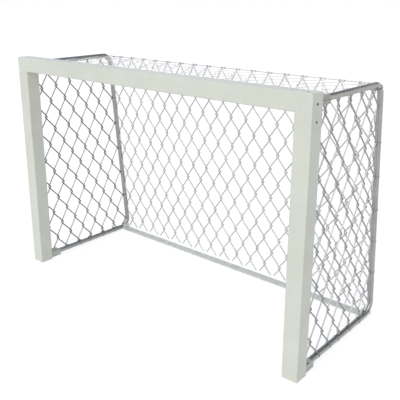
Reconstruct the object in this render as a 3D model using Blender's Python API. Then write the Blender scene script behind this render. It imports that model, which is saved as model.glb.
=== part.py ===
"""A small free-standing training goal with a wire net.

A square-section front frame with mitred corners stands on its two posts. Two bent round tubes, the
hoops, plug into sockets on the back of the posts. A flat bar on the ground and a cable at the top
join the hoops, and chain-link panels close the back, the sides and the top.

Units are metres. +X runs to the right seen from the front, +Y to the back, +Z up. The origin is on
the ground, at the centre of the footprint. Inside this script y is measured from the front face of
the posts, and one parent empty moves everything to the origin. For the two corners, hoops and side
nets, side is -1 on the left and 1 on the right.
"""

import math

import bmesh
import bpy
from mathutils import Matrix, Vector

# Clearance between two pieces that touch
GAP = 0.0003

# How finely round pieces are drawn: hexagons have the points of ROUND_SIDES too
ROUND_SIDES = 12
SHARP_ANGLE = math.radians(35)

# Front frame
OPENING_WIDTH = 1.800
OPENING_HEIGHT = 1.200
PROFILE = 0.080
PROFILE_WALL = 0.003
PROFILE_EDGE = 0.003
PROFILE_INNER_EDGE = 0.001
EDGE_STEPS = 2

# Corner connectors and their screws, placed from the outer corner of the frame
CONNECTOR_LEG = 0.150
CONNECTOR_WALL = 0.009
CONNECTOR_HOLE_DEPTH = 0.0168
CORNER_SCREW_PLACES = (0.045, 0.116)
CORNER_SCREW_HEAD = 0.012
CORNER_SCREW_HEAD_DEPTH = 0.005
CORNER_SCREW_SHANK = 0.008
CORNER_SCREW_LENGTH = 0.012
CORNER_SCREW_SUNK = 0.001

# Foot plugs
PLUG_HEIGHT = 0.030
PLUG_WALL = 0.003

# Hoops: a top arm, a sloping rear leg and a ground arm in one bent tube
TUBE_DIAMETER = 0.030
TUBE_WALL = 0.002
HOOP_INSET = 0.036
TOP_ARM_DROP = 0.040
TOP_DEPTH = 0.665
BASE_DEPTH = 0.779
GROUND_ARM_LIFT = 0.002
BEND_RADIUS = 0.060
BEND_STEPS = 6

# Hoop sockets. The ground socket stands on the ground, and the top one is the same part turned over
SOCKET_CHEEK = 0.013
SOCKET_ROOF = 0.004
SOCKET_LENGTH = 0.077
SOCKET_EDGE = 0.002
SOCKET_STOP = 0.012
SOCKET_SLIT = 0.0015
CLAMP_SCREW_BESIDE_TUBE = 0.0055
CLAMP_SCREW_BEHIND_POST = 0.036
CLAMP_SCREW_HEAD = 0.010
CLAMP_SCREW_HEAD_DEPTH = 0.005
CLAMP_SCREW_SHANK = 0.006
CLAMP_SCREW_OFF_FLOOR = 0.0065
CLAMP_SCREW_SUNK = 0.0005

# Rear ground bar, bent up at both ends
BAR_WIDTH = 0.050
BAR_THICKNESS = 0.008
BAR_BEHIND_TO_BASE_CORNER = 0.011
BAR_BEND = 0.004
BAR_BEND_STEPS = 4
TAB_ABOVE_BOLT = 0.013
TAB_EDGE = 0.010
TAB_EDGE_STEPS = 3
BAR_BOLT = 0.008
BAR_BOLT_HEAD_FLATS = 0.013
BAR_BOLT_HEAD_DEPTH = 0.0053
BAR_NUT_DEPTH = 0.0065
BAR_BOLT_TAIL = 0.003

# Rear top cable, which lies over both bends and loops back round the tubes
CABLE_DIAMETER = 0.004
CABLE_TURN_STEP = math.radians(20)
CABLE_TURN_STEPS = 12
FERRULE_FROM_TUBE = 0.051
FERRULE_LENGTH = 0.018
FERRULE_WALL = 0.0015
FERRULE_END_STEPS = 7
CABLE_TAIL = 0.006

# Net rails on the back of the frame
RAIL_WIDTH = 0.020
RAIL_THICKNESS = 0.005

# Wire mesh: diamonds, higher than wide
WIRE_DIAMETER = 0.005
MESH_WIDTH = 0.1049
MESH_HEIGHT = 0.1766
SHORTEST_WIRE = 0.007
SNAP_REACH = 0.008

# Where each panel's mesh starts: one of its crossings, and the tilt of its columns
BACK_MESH_ASIDE = 0.003
BACK_MESH_BELOW_CABLE = 0.020
BACK_NET_LIFT = 0.019
TOP_MESH_ASIDE = -0.0276
TOP_MESH_DEPTH = 0.553
SIDE_MESH_DEPTH = 0.185
SIDE_MESH_HEIGHT = 1.000

# Net clips, round the ground arms and the rear legs
CLIP_WIRE = 0.004
CLIP_OPENING = math.radians(80)
CLIP_STEPS = 8
CLIP_SIDES = 4
CLIP_STEP_ASIDE = 0.005
CLIP_STEPS_ASIDE = 8
CLIPS_ON_EACH_ARM = 5
CLIPS_ON_EACH_LEG = 5

# Worked out from the sizes above
FRAME_WIDTH = OPENING_WIDTH + 2 * PROFILE
FRAME_HEIGHT = OPENING_HEIGHT + PROFILE
TUBE_RADIUS = TUBE_DIAMETER / 2
TUBE_REACH = TUBE_RADIUS + GAP
HOOP_X = FRAME_WIDTH / 2 - HOOP_INSET
TOP_ARM_HEIGHT = FRAME_HEIGHT - TOP_ARM_DROP
GROUND_ARM_HEIGHT = TUBE_RADIUS + GROUND_ARM_LIFT
SOCKET_WIDTH = TUBE_DIAMETER + 2 * SOCKET_CHEEK
SOCKET_HEIGHT = GROUND_ARM_LIFT + TUBE_DIAMETER + SOCKET_ROOF
SOCKET_FRONT = PROFILE + GAP
SOCKET_REAR = SOCKET_FRONT + SOCKET_LENGTH
RAIL_REAR = PROFILE + GAP + RAIL_THICKNESS
CABLE_RADIUS = CABLE_DIAMETER / 2
CABLE_LAP = TUBE_REACH + CABLE_RADIUS
NET_HALF_WIDTH = HOOP_X - TUBE_REACH

# A net's wire has an even three-sided section of the round wire's own area, with its ridge outside
WIRE_REACH = WIRE_DIAMETER * math.sqrt(math.pi / math.sqrt(3)) / 2
WIRE_RIDGE = WIRE_REACH * 2 / math.sqrt(3)
WIRE_BASE = -WIRE_RIDGE / 2

# Looks: base colour, roughness and metallic value
MATT_ALUMINIUM = ((0.66, 0.67, 0.63), 0.45, 0.55)
CAST_ALUMINIUM = ((0.55, 0.56, 0.56), 0.60, 0.80)
TUBE_STEEL = ((0.50, 0.51, 0.52), 0.30, 0.90)
BAR_STEEL = ((0.62, 0.63, 0.63), 0.45, 0.70)
NET_WIRE = ((0.42, 0.43, 0.42), 0.45, 0.70)
CABLE_STEEL = ((0.72, 0.73, 0.74), 0.40, 0.70)
SCREW_STEEL = ((0.16, 0.16, 0.17), 0.45, 0.80)
CLIP_STEEL = ((0.20, 0.21, 0.22), 0.50, 0.70)
PLUG_PLASTIC = ((0.10, 0.10, 0.11), 0.60, 0.00)

SIDES = {"left": -1, "right": 1}


def clear_scene():
    for obj in list(bpy.data.objects):
        bpy.data.objects.remove(obj, do_unlink=True)


def add_material(obj, look):
    colour, roughness, metallic = look
    material = bpy.data.materials.new(obj.name)
    material.use_nodes = True
    shader = material.node_tree.nodes["Principled BSDF"]
    shader.inputs["Base Color"].default_value = (*colour, 1)
    shader.inputs["Roughness"].default_value = roughness
    shader.inputs["Metallic"].default_value = metallic
    material.diffuse_color = (*colour, 1)
    obj.data.materials.append(material)


def add_mesh(name, bm, look, parent, place=None):
    """An object made of the closed bmesh, moved by the matrix place inside its parent."""
    bmesh.ops.recalc_face_normals(bm, faces=bm.faces)
    mesh = bpy.data.meshes.new(name)
    bm.to_mesh(mesh)
    bm.free()
    mesh.shade_smooth()
    mesh.set_sharp_from_angle(angle=SHARP_ANGLE)
    obj = bpy.data.objects.new(name, mesh)
    bpy.context.scene.collection.objects.link(obj)
    obj.parent = parent
    obj.matrix_local = place or Matrix.Identity(4)
    if look:
        add_material(obj, look)
    return obj


def cut(obj, bm, parent, name):
    """Takes the solid in the bmesh out of the object with a Boolean and a hidden cutter."""
    cutter = add_mesh(f"{obj.name}_{name}_cutter", bm, None, parent)
    cutter.hide_render = True
    cutter.display_type = "WIRE"
    modifier = obj.modifiers.new(name, "BOOLEAN")
    modifier.operation = "DIFFERENCE"
    modifier.object = cutter


def stack(loops, closed=False, bm=None):
    """A solid skinned over loops of equally many points: capped at both ends, or closed in a ring."""
    bm = bm or bmesh.new()
    rings = [[bm.verts.new(point) for point in loop] for loop in loops]
    pairs = list(zip(rings, rings[1:]))
    if closed:
        pairs.append((rings[-1], rings[0]))
    else:
        bm.faces.new(rings[0])
        bm.faces.new(rings[-1])
    for first, second in pairs:
        for k in range(len(first)):
            bm.faces.new((first[k - 1], first[k], second[k], second[k - 1]))
    return bm


def circle(radius, centre=(0, 0, 0), axes=((1, 0, 0), (0, 1, 0)), sides=ROUND_SIDES):
    a, b = Vector(axes[0]), Vector(axes[1])
    angles = [2 * math.pi * k / sides for k in range(sides)]
    return [Vector(centre) + radius * (math.cos(t) * a + math.sin(t) * b) for t in angles]


def hexagon(flats, z):
    """A hexagon as six corners and six edge middles, to match the points of a circle."""
    corner, middle = flats / math.sqrt(3), flats / 2
    turn = 2 * math.pi / ROUND_SIDES
    return [
        Vector((r * math.cos(t), r * math.sin(t), z))
        for r, t in ((middle if k % 2 else corner, turn * k) for k in range(ROUND_SIDES))
    ]


def cylinder(start, end, radius, bm=None):
    """A capped cylinder between two points."""
    start, end = Vector(start), Vector(end)
    along = (end - start).normalized()
    a = along.orthogonal().normalized()
    axes = (a, along.cross(a))
    return stack([circle(radius, p, axes) for p in (start, end)], bm=bm)


def block(low, high, edge=0.0):
    """A box between two corners, with its edges taken off."""
    low, high = Vector(low), Vector(high)
    bm = bmesh.new()
    size = Matrix.Diagonal((*(high - low), 1))
    bmesh.ops.create_cube(bm, size=1, matrix=Matrix.Translation((low + high) / 2) @ size)
    if edge:
        bmesh.ops.bevel(
            bm, geom=bm.edges[:], offset=edge, segments=1, profile=0.5, affect="EDGES"
        )
    return bm


def rounded_square(half, edge):
    """Corner points of a square of side 2 * half in two axes, with rounded corners."""
    points = []
    for quarter in range(4):
        turn = math.pi / 2 * quarter
        centre = Vector((half - edge, half - edge))
        for k in range(EDGE_STEPS + 1):
            t = math.pi / 2 * k / EDGE_STEPS
            point = centre + edge * Vector((math.cos(t), math.sin(t)))
            points.append(Matrix.Rotation(turn, 2) @ point)
    return points


def mitred_profile(name, parent, low, high, low_slope, high_slope, place):
    """A hollow square bar along local z. Its ends are at low and high on the centre line, and rise
    by their slope towards local +x, the outer side of the frame."""
    half = PROFILE / 2
    outer = rounded_square(half, PROFILE_EDGE)
    inner = rounded_square(half - PROFILE_WALL, PROFILE_INNER_EDGE)
    loops = [
        [Vector((u, v, end + slope * u)) for u, v in section]
        for section, end, slope in (
            (outer, low, low_slope),
            (outer, high, high_slope),
            (inner, high, high_slope),
            (inner, low, low_slope),
        )
    ]
    return add_mesh(name, stack(loops, closed=True), MATT_ALUMINIUM, parent, place)


def corner_screw_seats(side):
    """For each screw of a corner: its point on the frame's outer face and the outward direction."""
    middle = PROFILE / 2
    seats = {}
    for number, along in enumerate(CORNER_SCREW_PLACES, start=1):
        on_post = Vector((side * FRAME_WIDTH / 2, middle, FRAME_HEIGHT - along))
        on_bar = Vector((side * (FRAME_WIDTH / 2 - along), middle, FRAME_HEIGHT))
        seats[f"side_{number}"] = (on_post, Vector((side, 0, 0)))
        seats[f"top_{number}"] = (on_bar, Vector((0, 0, 1)))
    return seats


def screw_holes(seats, radius, first, last):
    """Cylinders along the seats' axes, between two depths below the outer face."""
    bm = bmesh.new()
    for point, outward in seats:
        cylinder(point - first * outward, point - last * outward, radius, bm)
    return bm


def make_frame(parent):
    end = PROFILE / 2 + GAP * math.sqrt(2) / 2
    middle = PROFILE / 2
    hole = CORNER_SCREW_HEAD / 2 + GAP
    reach = (-PROFILE_WALL, 2 * PROFILE_WALL)
    for word, side in SIDES.items():
        turn = Matrix.Rotation(0 if side > 0 else math.pi, 4, "Z")
        place = Matrix.Translation((side * (FRAME_WIDTH / 2 - middle), middle, 0)) @ turn
        post = mitred_profile(
            f"{word}_post", parent, 0, FRAME_HEIGHT - end, 0, 1, place
        )
        seats = corner_screw_seats(side)
        on_post = [seat for key, seat in seats.items() if key.startswith("side")]
        cut(post, screw_holes(on_post, hole, *reach), parent, "screw_holes")
    turn = Matrix.Rotation(-math.pi / 2, 4, "Y")
    place = Matrix.Translation((0, middle, FRAME_HEIGHT - middle)) @ turn
    length = FRAME_WIDTH / 2 - end
    crossbar = mitred_profile("crossbar", parent, -length, length, -1, 1, place)
    on_bar = [
        seat
        for side in SIDES.values()
        for key, seat in corner_screw_seats(side).items()
        if key.startswith("top")
    ]
    cut(crossbar, screw_holes(on_bar, hole, *reach), parent, "screw_holes")


def make_corner(parent, word, side):
    """The angle casting inside a corner, an open tray, with the four screws that hold it."""
    skin = PROFILE_WALL + GAP
    inside = PROFILE - skin

    def angle(inset):
        near, far, leg = skin + inset, inside - inset, CONNECTOR_LEG - inset
        outline = ((near, near), (near, leg), (far, leg), (far, far), (leg, far), (leg, near))
        return [(side * (FRAME_WIDTH / 2 - u), FRAME_HEIGHT - v) for u, v in outline]

    front, floor, back = skin, inside - CONNECTOR_WALL, inside
    loops = [
        [(x, y, z) for x, z in angle(inset)]
        for inset, y in ((0, back), (0, front), (CONNECTOR_WALL, front), (CONNECTOR_WALL, floor))
    ]
    connector = add_mesh(f"{word}_corner_connector", stack(loops), CAST_ALUMINIUM, parent)
    seats = corner_screw_seats(side)
    head_end = CORNER_SCREW_SUNK + CORNER_SCREW_HEAD_DEPTH
    heads = screw_holes(seats.values(), CORNER_SCREW_HEAD / 2 + GAP, 0, head_end + GAP)
    shanks = screw_holes(seats.values(), CORNER_SCREW_SHANK / 2 + GAP, 0, CONNECTOR_HOLE_DEPTH)
    cut(connector, heads, parent, "head_seats")
    cut(connector, shanks, parent, "screw_holes")
    for key, (point, outward) in seats.items():
        screw = cap_screw(
            CORNER_SCREW_HEAD, CORNER_SCREW_HEAD_DEPTH, CORNER_SCREW_SHANK, CORNER_SCREW_LENGTH
        )
        place = along_axis(point - CORNER_SCREW_SUNK * outward, outward)
        add_mesh(f"{word}_corner_screw_{key}", screw, SCREW_STEEL, parent, place)


def cap_screw(head, head_depth, shank, length):
    """A screw with a round head, the head's top at z = 0 and the shank downwards."""
    return stack(
        [
            circle(head / 2),
            circle(head / 2, (0, 0, -head_depth)),
            circle(shank / 2, (0, 0, -head_depth)),
            circle(shank / 2, (0, 0, -head_depth - length)),
        ]
    )


def along_axis(point, direction):
    """The placement that puts the local origin on the point and local +z along the direction."""
    turn = Vector(direction).to_track_quat("Z", "Y").to_matrix().to_4x4()
    return Matrix.Translation(point) @ turn


def make_foot_plug(parent, word, side):
    half = PROFILE / 2 - PROFILE_WALL - GAP
    outer = rounded_square(half, PROFILE_INNER_EDGE)
    inner = rounded_square(half - PLUG_WALL, PROFILE_INNER_EDGE)
    loops = [
        [(u, v, z) for u, v in section]
        for section, z in ((outer, 0), (outer, PLUG_HEIGHT), (inner, PLUG_HEIGHT), (inner, PLUG_WALL))
    ]
    place = Matrix.Translation((side * (FRAME_WIDTH - PROFILE) / 2, PROFILE / 2, 0))
    add_mesh(f"{word}_foot_plug", stack(loops), PLUG_PLASTIC, parent, place)


def hoop_corners():
    """The two sharp corners of a hoop's centre line, as (y, z)."""
    return Vector((TOP_DEPTH, TOP_ARM_HEIGHT)), Vector((BASE_DEPTH, GROUND_ARM_HEIGHT))


def inward(direction):
    """The unit normal of a hoop's centre line that points into the hoop."""
    return Vector((direction.y, -direction.x))


def bend(corner, before, after):
    """Centre, first normal and turn of the bend between two directions, in (y, z)."""
    turn = before.angle(after)
    start = corner - before * BEND_RADIUS * math.tan(turn / 2)
    return start + inward(before) * BEND_RADIUS, inward(before), turn


def hoop_bends():
    top, base = hoop_corners()
    back, down = Vector((1, 0)), (base - top).normalized()
    return bend(top, back, down), bend(base, down, -back)


def bend_points(bend_of_hoop, offset):
    """Points along a bend in (y, z), each moved into the hoop by the offset."""
    centre, normal, turn = bend_of_hoop
    turns = [-turn * k / BEND_STEPS for k in range(BEND_STEPS + 1)]
    return [centre - (BEND_RADIUS - offset) * (Matrix.Rotation(t, 2) @ normal) for t in turns]


def hoop_line(front, offset=0.0, bend_offset=0.0):
    """Points of a hoop in (y, z), from the front end of the top arm to that of the ground arm, each
    moved into the hoop by the offset, and on the bends by the bend offset."""
    points = [Vector((front, TOP_ARM_HEIGHT - offset))]
    for bend_of_hoop in hoop_bends():
        arc_points = bend_points(bend_of_hoop, bend_offset)
        if offset != bend_offset:
            straight = bend_points(bend_of_hoop, offset)
            arc_points = [straight[0], *arc_points, straight[-1]]
        points += arc_points
    points.append(Vector((front, GROUND_ARM_HEIGHT + offset)))
    return points


def leg_depth(height):
    """Depth of the rear leg's centre line at a height."""
    top, base = hoop_corners()
    return base.x + (height - base.y) / (top.y - base.y) * (top.x - base.x)


def bar_bolt_place():
    """Depth and height where a bar bolt crosses the hoop's centre line."""
    depth = BASE_DEPTH - BAR_BEHIND_TO_BASE_CORNER - BAR_WIDTH / 2
    centre = hoop_bends()[1][0]
    drop = math.sqrt(BEND_RADIUS**2 - max(0, depth - centre.x) ** 2)
    return depth, centre.y - drop


def make_hoop(parent, word, side):
    front = SOCKET_FRONT + SOCKET_STOP + GAP
    line = hoop_line(front)
    inner_line = hoop_line(front, TUBE_RADIUS, TUBE_RADIUS)
    loops = []
    for radius in (TUBE_RADIUS, TUBE_RADIUS - TUBE_WALL):
        rings = []
        for centre, inside in zip(line, inner_line):
            normal = (inside - centre).normalized()
            axes = ((1, 0, 0), (0, normal.x, normal.y))
            rings.append(circle(radius, (0, centre.x, centre.y), axes))
        loops += rings if radius == TUBE_RADIUS else rings[::-1]
    place = Matrix.Translation((side * HOOP_X, 0, 0))
    hoop = add_mesh(f"{word}_net_hoop", stack(loops, closed=True), TUBE_STEEL, parent, place)
    depth, height = bar_bolt_place()
    ends = [(side * HOOP_X + step * TUBE_DIAMETER, depth, height) for step in (-1, 1)]
    cut(hoop, cylinder(*ends, BAR_BOLT / 2 + GAP), parent, "bolt_hole")


def make_socket(parent, word, side, level, up):
    """A clamp block on the back of a post. The ground one has its screw on top, so up is 1, and the
    top one is turned over, so up is -1."""
    axis = GROUND_ARM_HEIGHT if up > 0 else TOP_ARM_HEIGHT
    low, high = sorted((axis - up * GROUND_ARM_HEIGHT, axis + up * (SOCKET_HEIGHT - GROUND_ARM_HEIGHT)))
    x = side * HOOP_X
    half = SOCKET_WIDTH / 2
    body = block((x - half, SOCKET_FRONT, low), (x + half, SOCKET_REAR, high), SOCKET_EDGE)
    socket = add_mesh(f"{word}_{level}_socket", body, MATT_ALUMINIUM, parent)

    stop = SOCKET_FRONT + SOCKET_STOP
    past = SOCKET_REAR + SOCKET_STOP
    bore = [circle(TUBE_REACH, (x, y, axis), ((1, 0, 0), (0, 0, 1))) for y in (stop, past)]
    cut(socket, stack(bore), parent, "bore")
    slit_low = Vector((min(x, x + side * SOCKET_WIDTH), stop, axis - SOCKET_SLIT / 2))
    slit_size = Vector((SOCKET_WIDTH, past - stop, SOCKET_SLIT))
    cut(socket, block(slit_low, slit_low + slit_size), parent, "slit")

    face = high if up > 0 else low
    aside = side * (TUBE_RADIUS + CLAMP_SCREW_BESIDE_TUBE)
    point = Vector((x + aside, SOCKET_FRONT + CLAMP_SCREW_BEHIND_POST, face))
    outward = Vector((0, 0, up))
    sunk = CLAMP_SCREW_SUNK
    head_end = sunk + CLAMP_SCREW_HEAD_DEPTH + GAP
    tip = SOCKET_HEIGHT - CLAMP_SCREW_OFF_FLOOR + GAP
    length = SOCKET_HEIGHT - CLAMP_SCREW_OFF_FLOOR - sunk - CLAMP_SCREW_HEAD_DEPTH
    seat = [(point, outward)]
    head_hole = screw_holes(seat, CLAMP_SCREW_HEAD / 2 + GAP, -PROFILE_WALL, head_end)
    cut(socket, head_hole, parent, "head_seat")
    cut(socket, screw_holes(seat, CLAMP_SCREW_SHANK / 2 + GAP, 0, tip), parent, "screw_hole")
    screw = cap_screw(CLAMP_SCREW_HEAD, CLAMP_SCREW_HEAD_DEPTH, CLAMP_SCREW_SHANK, length)
    place = along_axis(point - sunk * outward, outward)
    add_mesh(f"{word}_{level}_clamp_screw", screw, SCREW_STEEL, parent, place)


def arc(centre, radius, start, end, steps):
    angles = [start + (end - start) * k / steps for k in range(steps + 1)]
    return [Vector(centre) + radius * Vector((math.cos(t), math.sin(t))) for t in angles]


def make_ground_bar(parent):
    depth, height = bar_bolt_place()
    end = HOOP_X - TUBE_RADIUS - GAP
    top = height + TAB_ABOVE_BOLT
    inner, outer = BAR_BEND, BAR_BEND + BAR_THICKNESS
    right = (end - outer, outer)
    left = (-end + outer, outer)
    right_outside = arc(right, outer, -math.pi / 2, 0, BAR_BEND_STEPS)
    right_inside = arc(right, inner, 0, -math.pi / 2, BAR_BEND_STEPS)
    left_inside = arc(left, inner, -math.pi / 2, -math.pi, BAR_BEND_STEPS)
    left_outside = arc(left, outer, math.pi, 1.5 * math.pi, BAR_BEND_STEPS)
    outline = [
        *right_outside,
        Vector((end, top)),
        Vector((end - BAR_THICKNESS, top)),
        *right_inside,
        *left_inside,
        Vector((-end + BAR_THICKNESS, top)),
        Vector((-end, top)),
        *left_outside,
    ]
    loops = [
        [(p.x, depth + step * BAR_WIDTH / 2, p.y) for p in outline] for step in (-1, 1)
    ]
    bm = stack(loops)
    bmesh.ops.recalc_face_normals(bm, faces=bm.faces)
    tab_corners = [
        edge
        for edge in bm.edges
        if all(abs(v.co.z - top) < GAP for v in edge.verts)
        and abs(edge.verts[0].co.y - edge.verts[1].co.y) < GAP
    ]
    bmesh.ops.bevel(
        bm,
        geom=tab_corners,
        offset=TAB_EDGE,
        segments=TAB_EDGE_STEPS,
        profile=0.5,
        affect="EDGES",
    )
    bar = add_mesh("rear_ground_bar", bm, BAR_STEEL, parent)
    holes = bmesh.new()
    for side in SIDES.values():
        ends = [(side * (end + step * BAR_THICKNESS), depth, height) for step in (-2, 1)]
        cylinder(*ends, BAR_BOLT / 2 + GAP, bm=holes)
    cut(bar, holes, parent, "bolt_holes")


def make_bar_bolt(parent, word, side):
    """The bolt through the hoop and the bar's tab, its head outside, and its nut inside."""
    depth, height = bar_bolt_place()
    outside = TUBE_RADIUS + GAP
    nut_face = -(TUBE_RADIUS + GAP + BAR_THICKNESS + GAP)
    tail = nut_face - BAR_NUT_DEPTH - BAR_BOLT_TAIL
    bolt = stack(
        [
            hexagon(BAR_BOLT_HEAD_FLATS, outside + BAR_BOLT_HEAD_DEPTH),
            hexagon(BAR_BOLT_HEAD_FLATS, outside),
            circle(BAR_BOLT / 2, (0, 0, outside)),
            circle(BAR_BOLT / 2, (0, 0, tail)),
        ]
    )
    place = along_axis(Vector((side * HOOP_X, depth, height)), Vector((side, 0, 0)))
    add_mesh(f"{word}_bar_bolt", bolt, SCREW_STEEL, parent, place)

    bore = (BAR_BOLT / 2 + GAP) / math.cos(math.pi / ROUND_SIDES)
    near, far = nut_face, nut_face - BAR_NUT_DEPTH
    nut = stack(
        [
            hexagon(BAR_BOLT_HEAD_FLATS, near),
            hexagon(BAR_BOLT_HEAD_FLATS, far),
            circle(bore, (0, 0, far)),
            circle(bore, (0, 0, near)),
        ],
        closed=True,
    )
    add_mesh(f"{word}_bar_nut", nut, SCREW_STEEL, parent, place)


def cable_frame():
    """Centre of the tube in the middle of the top bend, and the direction from the bend's centre
    through it, both in (y, z). The cable crosses the tube there."""
    centre, normal, turn = hoop_bends()[0]
    outward = -(Matrix.Rotation(-turn / 2, 2) @ normal)
    return centre + outward * BEND_RADIUS, outward


def cable_depth_and_height():
    tube, outward = cable_frame()
    return tube + outward * CABLE_LAP


def cable_eye():
    """Points of one end of the cable as (x from the tube's centre, height over it), on the right:
    over the tube, round it and back to the ferrule, where the tail lies under the cable."""
    lap = CABLE_LAP / math.cos(CABLE_TURN_STEP / 2)
    top = math.pi / 2 - CABLE_TURN_STEP / 2
    turns = [top - CABLE_TURN_STEP * k for k in range(CABLE_TURN_STEPS)]
    points = [Vector((lap * math.cos(t), lap * math.sin(t))) for t in turns]
    tail_height = CABLE_LAP - CABLE_DIAMETER - GAP
    ferrule_end = -FERRULE_FROM_TUBE + FERRULE_LENGTH / 2
    mouth = Vector((ferrule_end + CABLE_RADIUS, tail_height))
    points.append(mouth + Vector((CABLE_DIAMETER, -CABLE_RADIUS)))
    points.append(mouth)
    points.append(Vector((ferrule_end - FERRULE_LENGTH - CABLE_TAIL, tail_height)))
    return points


def make_cable(parent):
    tube, outward = cable_frame()

    def place(side, point):
        y, z = tube + outward * point.y
        return Vector((side * (HOOP_X + point.x), y, z))

    route = [place(-1, p) for p in reversed(cable_eye())] + [place(1, p) for p in cable_eye()]
    curve = bpy.data.curves.new("rear_top_cable", "CURVE")
    curve.dimensions = "3D"
    curve.bevel_depth = CABLE_RADIUS
    curve.bevel_resolution = 2
    curve.use_fill_caps = True
    spline = curve.splines.new("POLY")
    spline.points.add(len(route) - 1)
    for control, point in zip(spline.points, route):
        control.co = (*point, 1)
    obj = bpy.data.objects.new("rear_top_cable", curve)
    bpy.context.scene.collection.objects.link(obj)
    obj.parent = parent
    add_material(obj, CABLE_STEEL)


def oval(radius, half_pitch, x):
    """A stadium round two bores side by side along local y."""
    points = []
    for sign in (1, -1):
        centre = (0, sign * half_pitch)
        start = 0 if sign > 0 else math.pi
        points += arc(centre, radius, start, start + math.pi, FERRULE_END_STEPS)
    return [Vector((x, p.y, p.x)) for p in points]


def make_ferrule(parent, word, side):
    """The crimped sleeve round the cable and its tail."""
    tube, outward = cable_frame()
    half_pitch = (CABLE_DIAMETER + GAP) / 2
    bore = (CABLE_RADIUS + GAP) / math.cos(math.pi / FERRULE_END_STEPS / 2)
    half = FERRULE_LENGTH / 2
    loops = [
        oval(bore + FERRULE_WALL, half_pitch, -half),
        oval(bore + FERRULE_WALL, half_pitch, half),
        oval(bore, half_pitch, half),
        oval(bore, half_pitch, -half),
    ]
    y, z = tube + outward * (CABLE_LAP - half_pitch)
    tilt = Matrix.Rotation(math.atan2(outward.y, outward.x), 4, "X")
    place = Matrix.Translation((side * (HOOP_X - FERRULE_FROM_TUBE), y, z)) @ tilt
    add_mesh(f"{word}_cable_ferrule", stack(loops, closed=True), CAST_ALUMINIUM, parent, place)


def socket_level_gap():
    """Top of the ground sockets and underside of the top sockets."""
    return SOCKET_HEIGHT, TOP_ARM_HEIGHT - (SOCKET_HEIGHT - GROUND_ARM_HEIGHT)


def make_rails(parent):
    half = RAIL_WIDTH / 2
    low, high = socket_level_gap()
    for word, side in SIDES.items():
        x = side * HOOP_X
        rail = block(
            (x - half, PROFILE + GAP, low + GAP), (x + half, RAIL_REAR, high - GAP)
        )
        add_mesh(f"{word}_net_rail", rail, MATT_ALUMINIUM, parent)
    reach = HOOP_X - SOCKET_WIDTH / 2 - GAP
    z = TOP_ARM_HEIGHT
    rail = block((-reach, PROFILE + GAP, z - half), (reach, RAIL_REAR, z + half))
    add_mesh("top_net_rail", rail, MATT_ALUMINIUM, parent)


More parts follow.
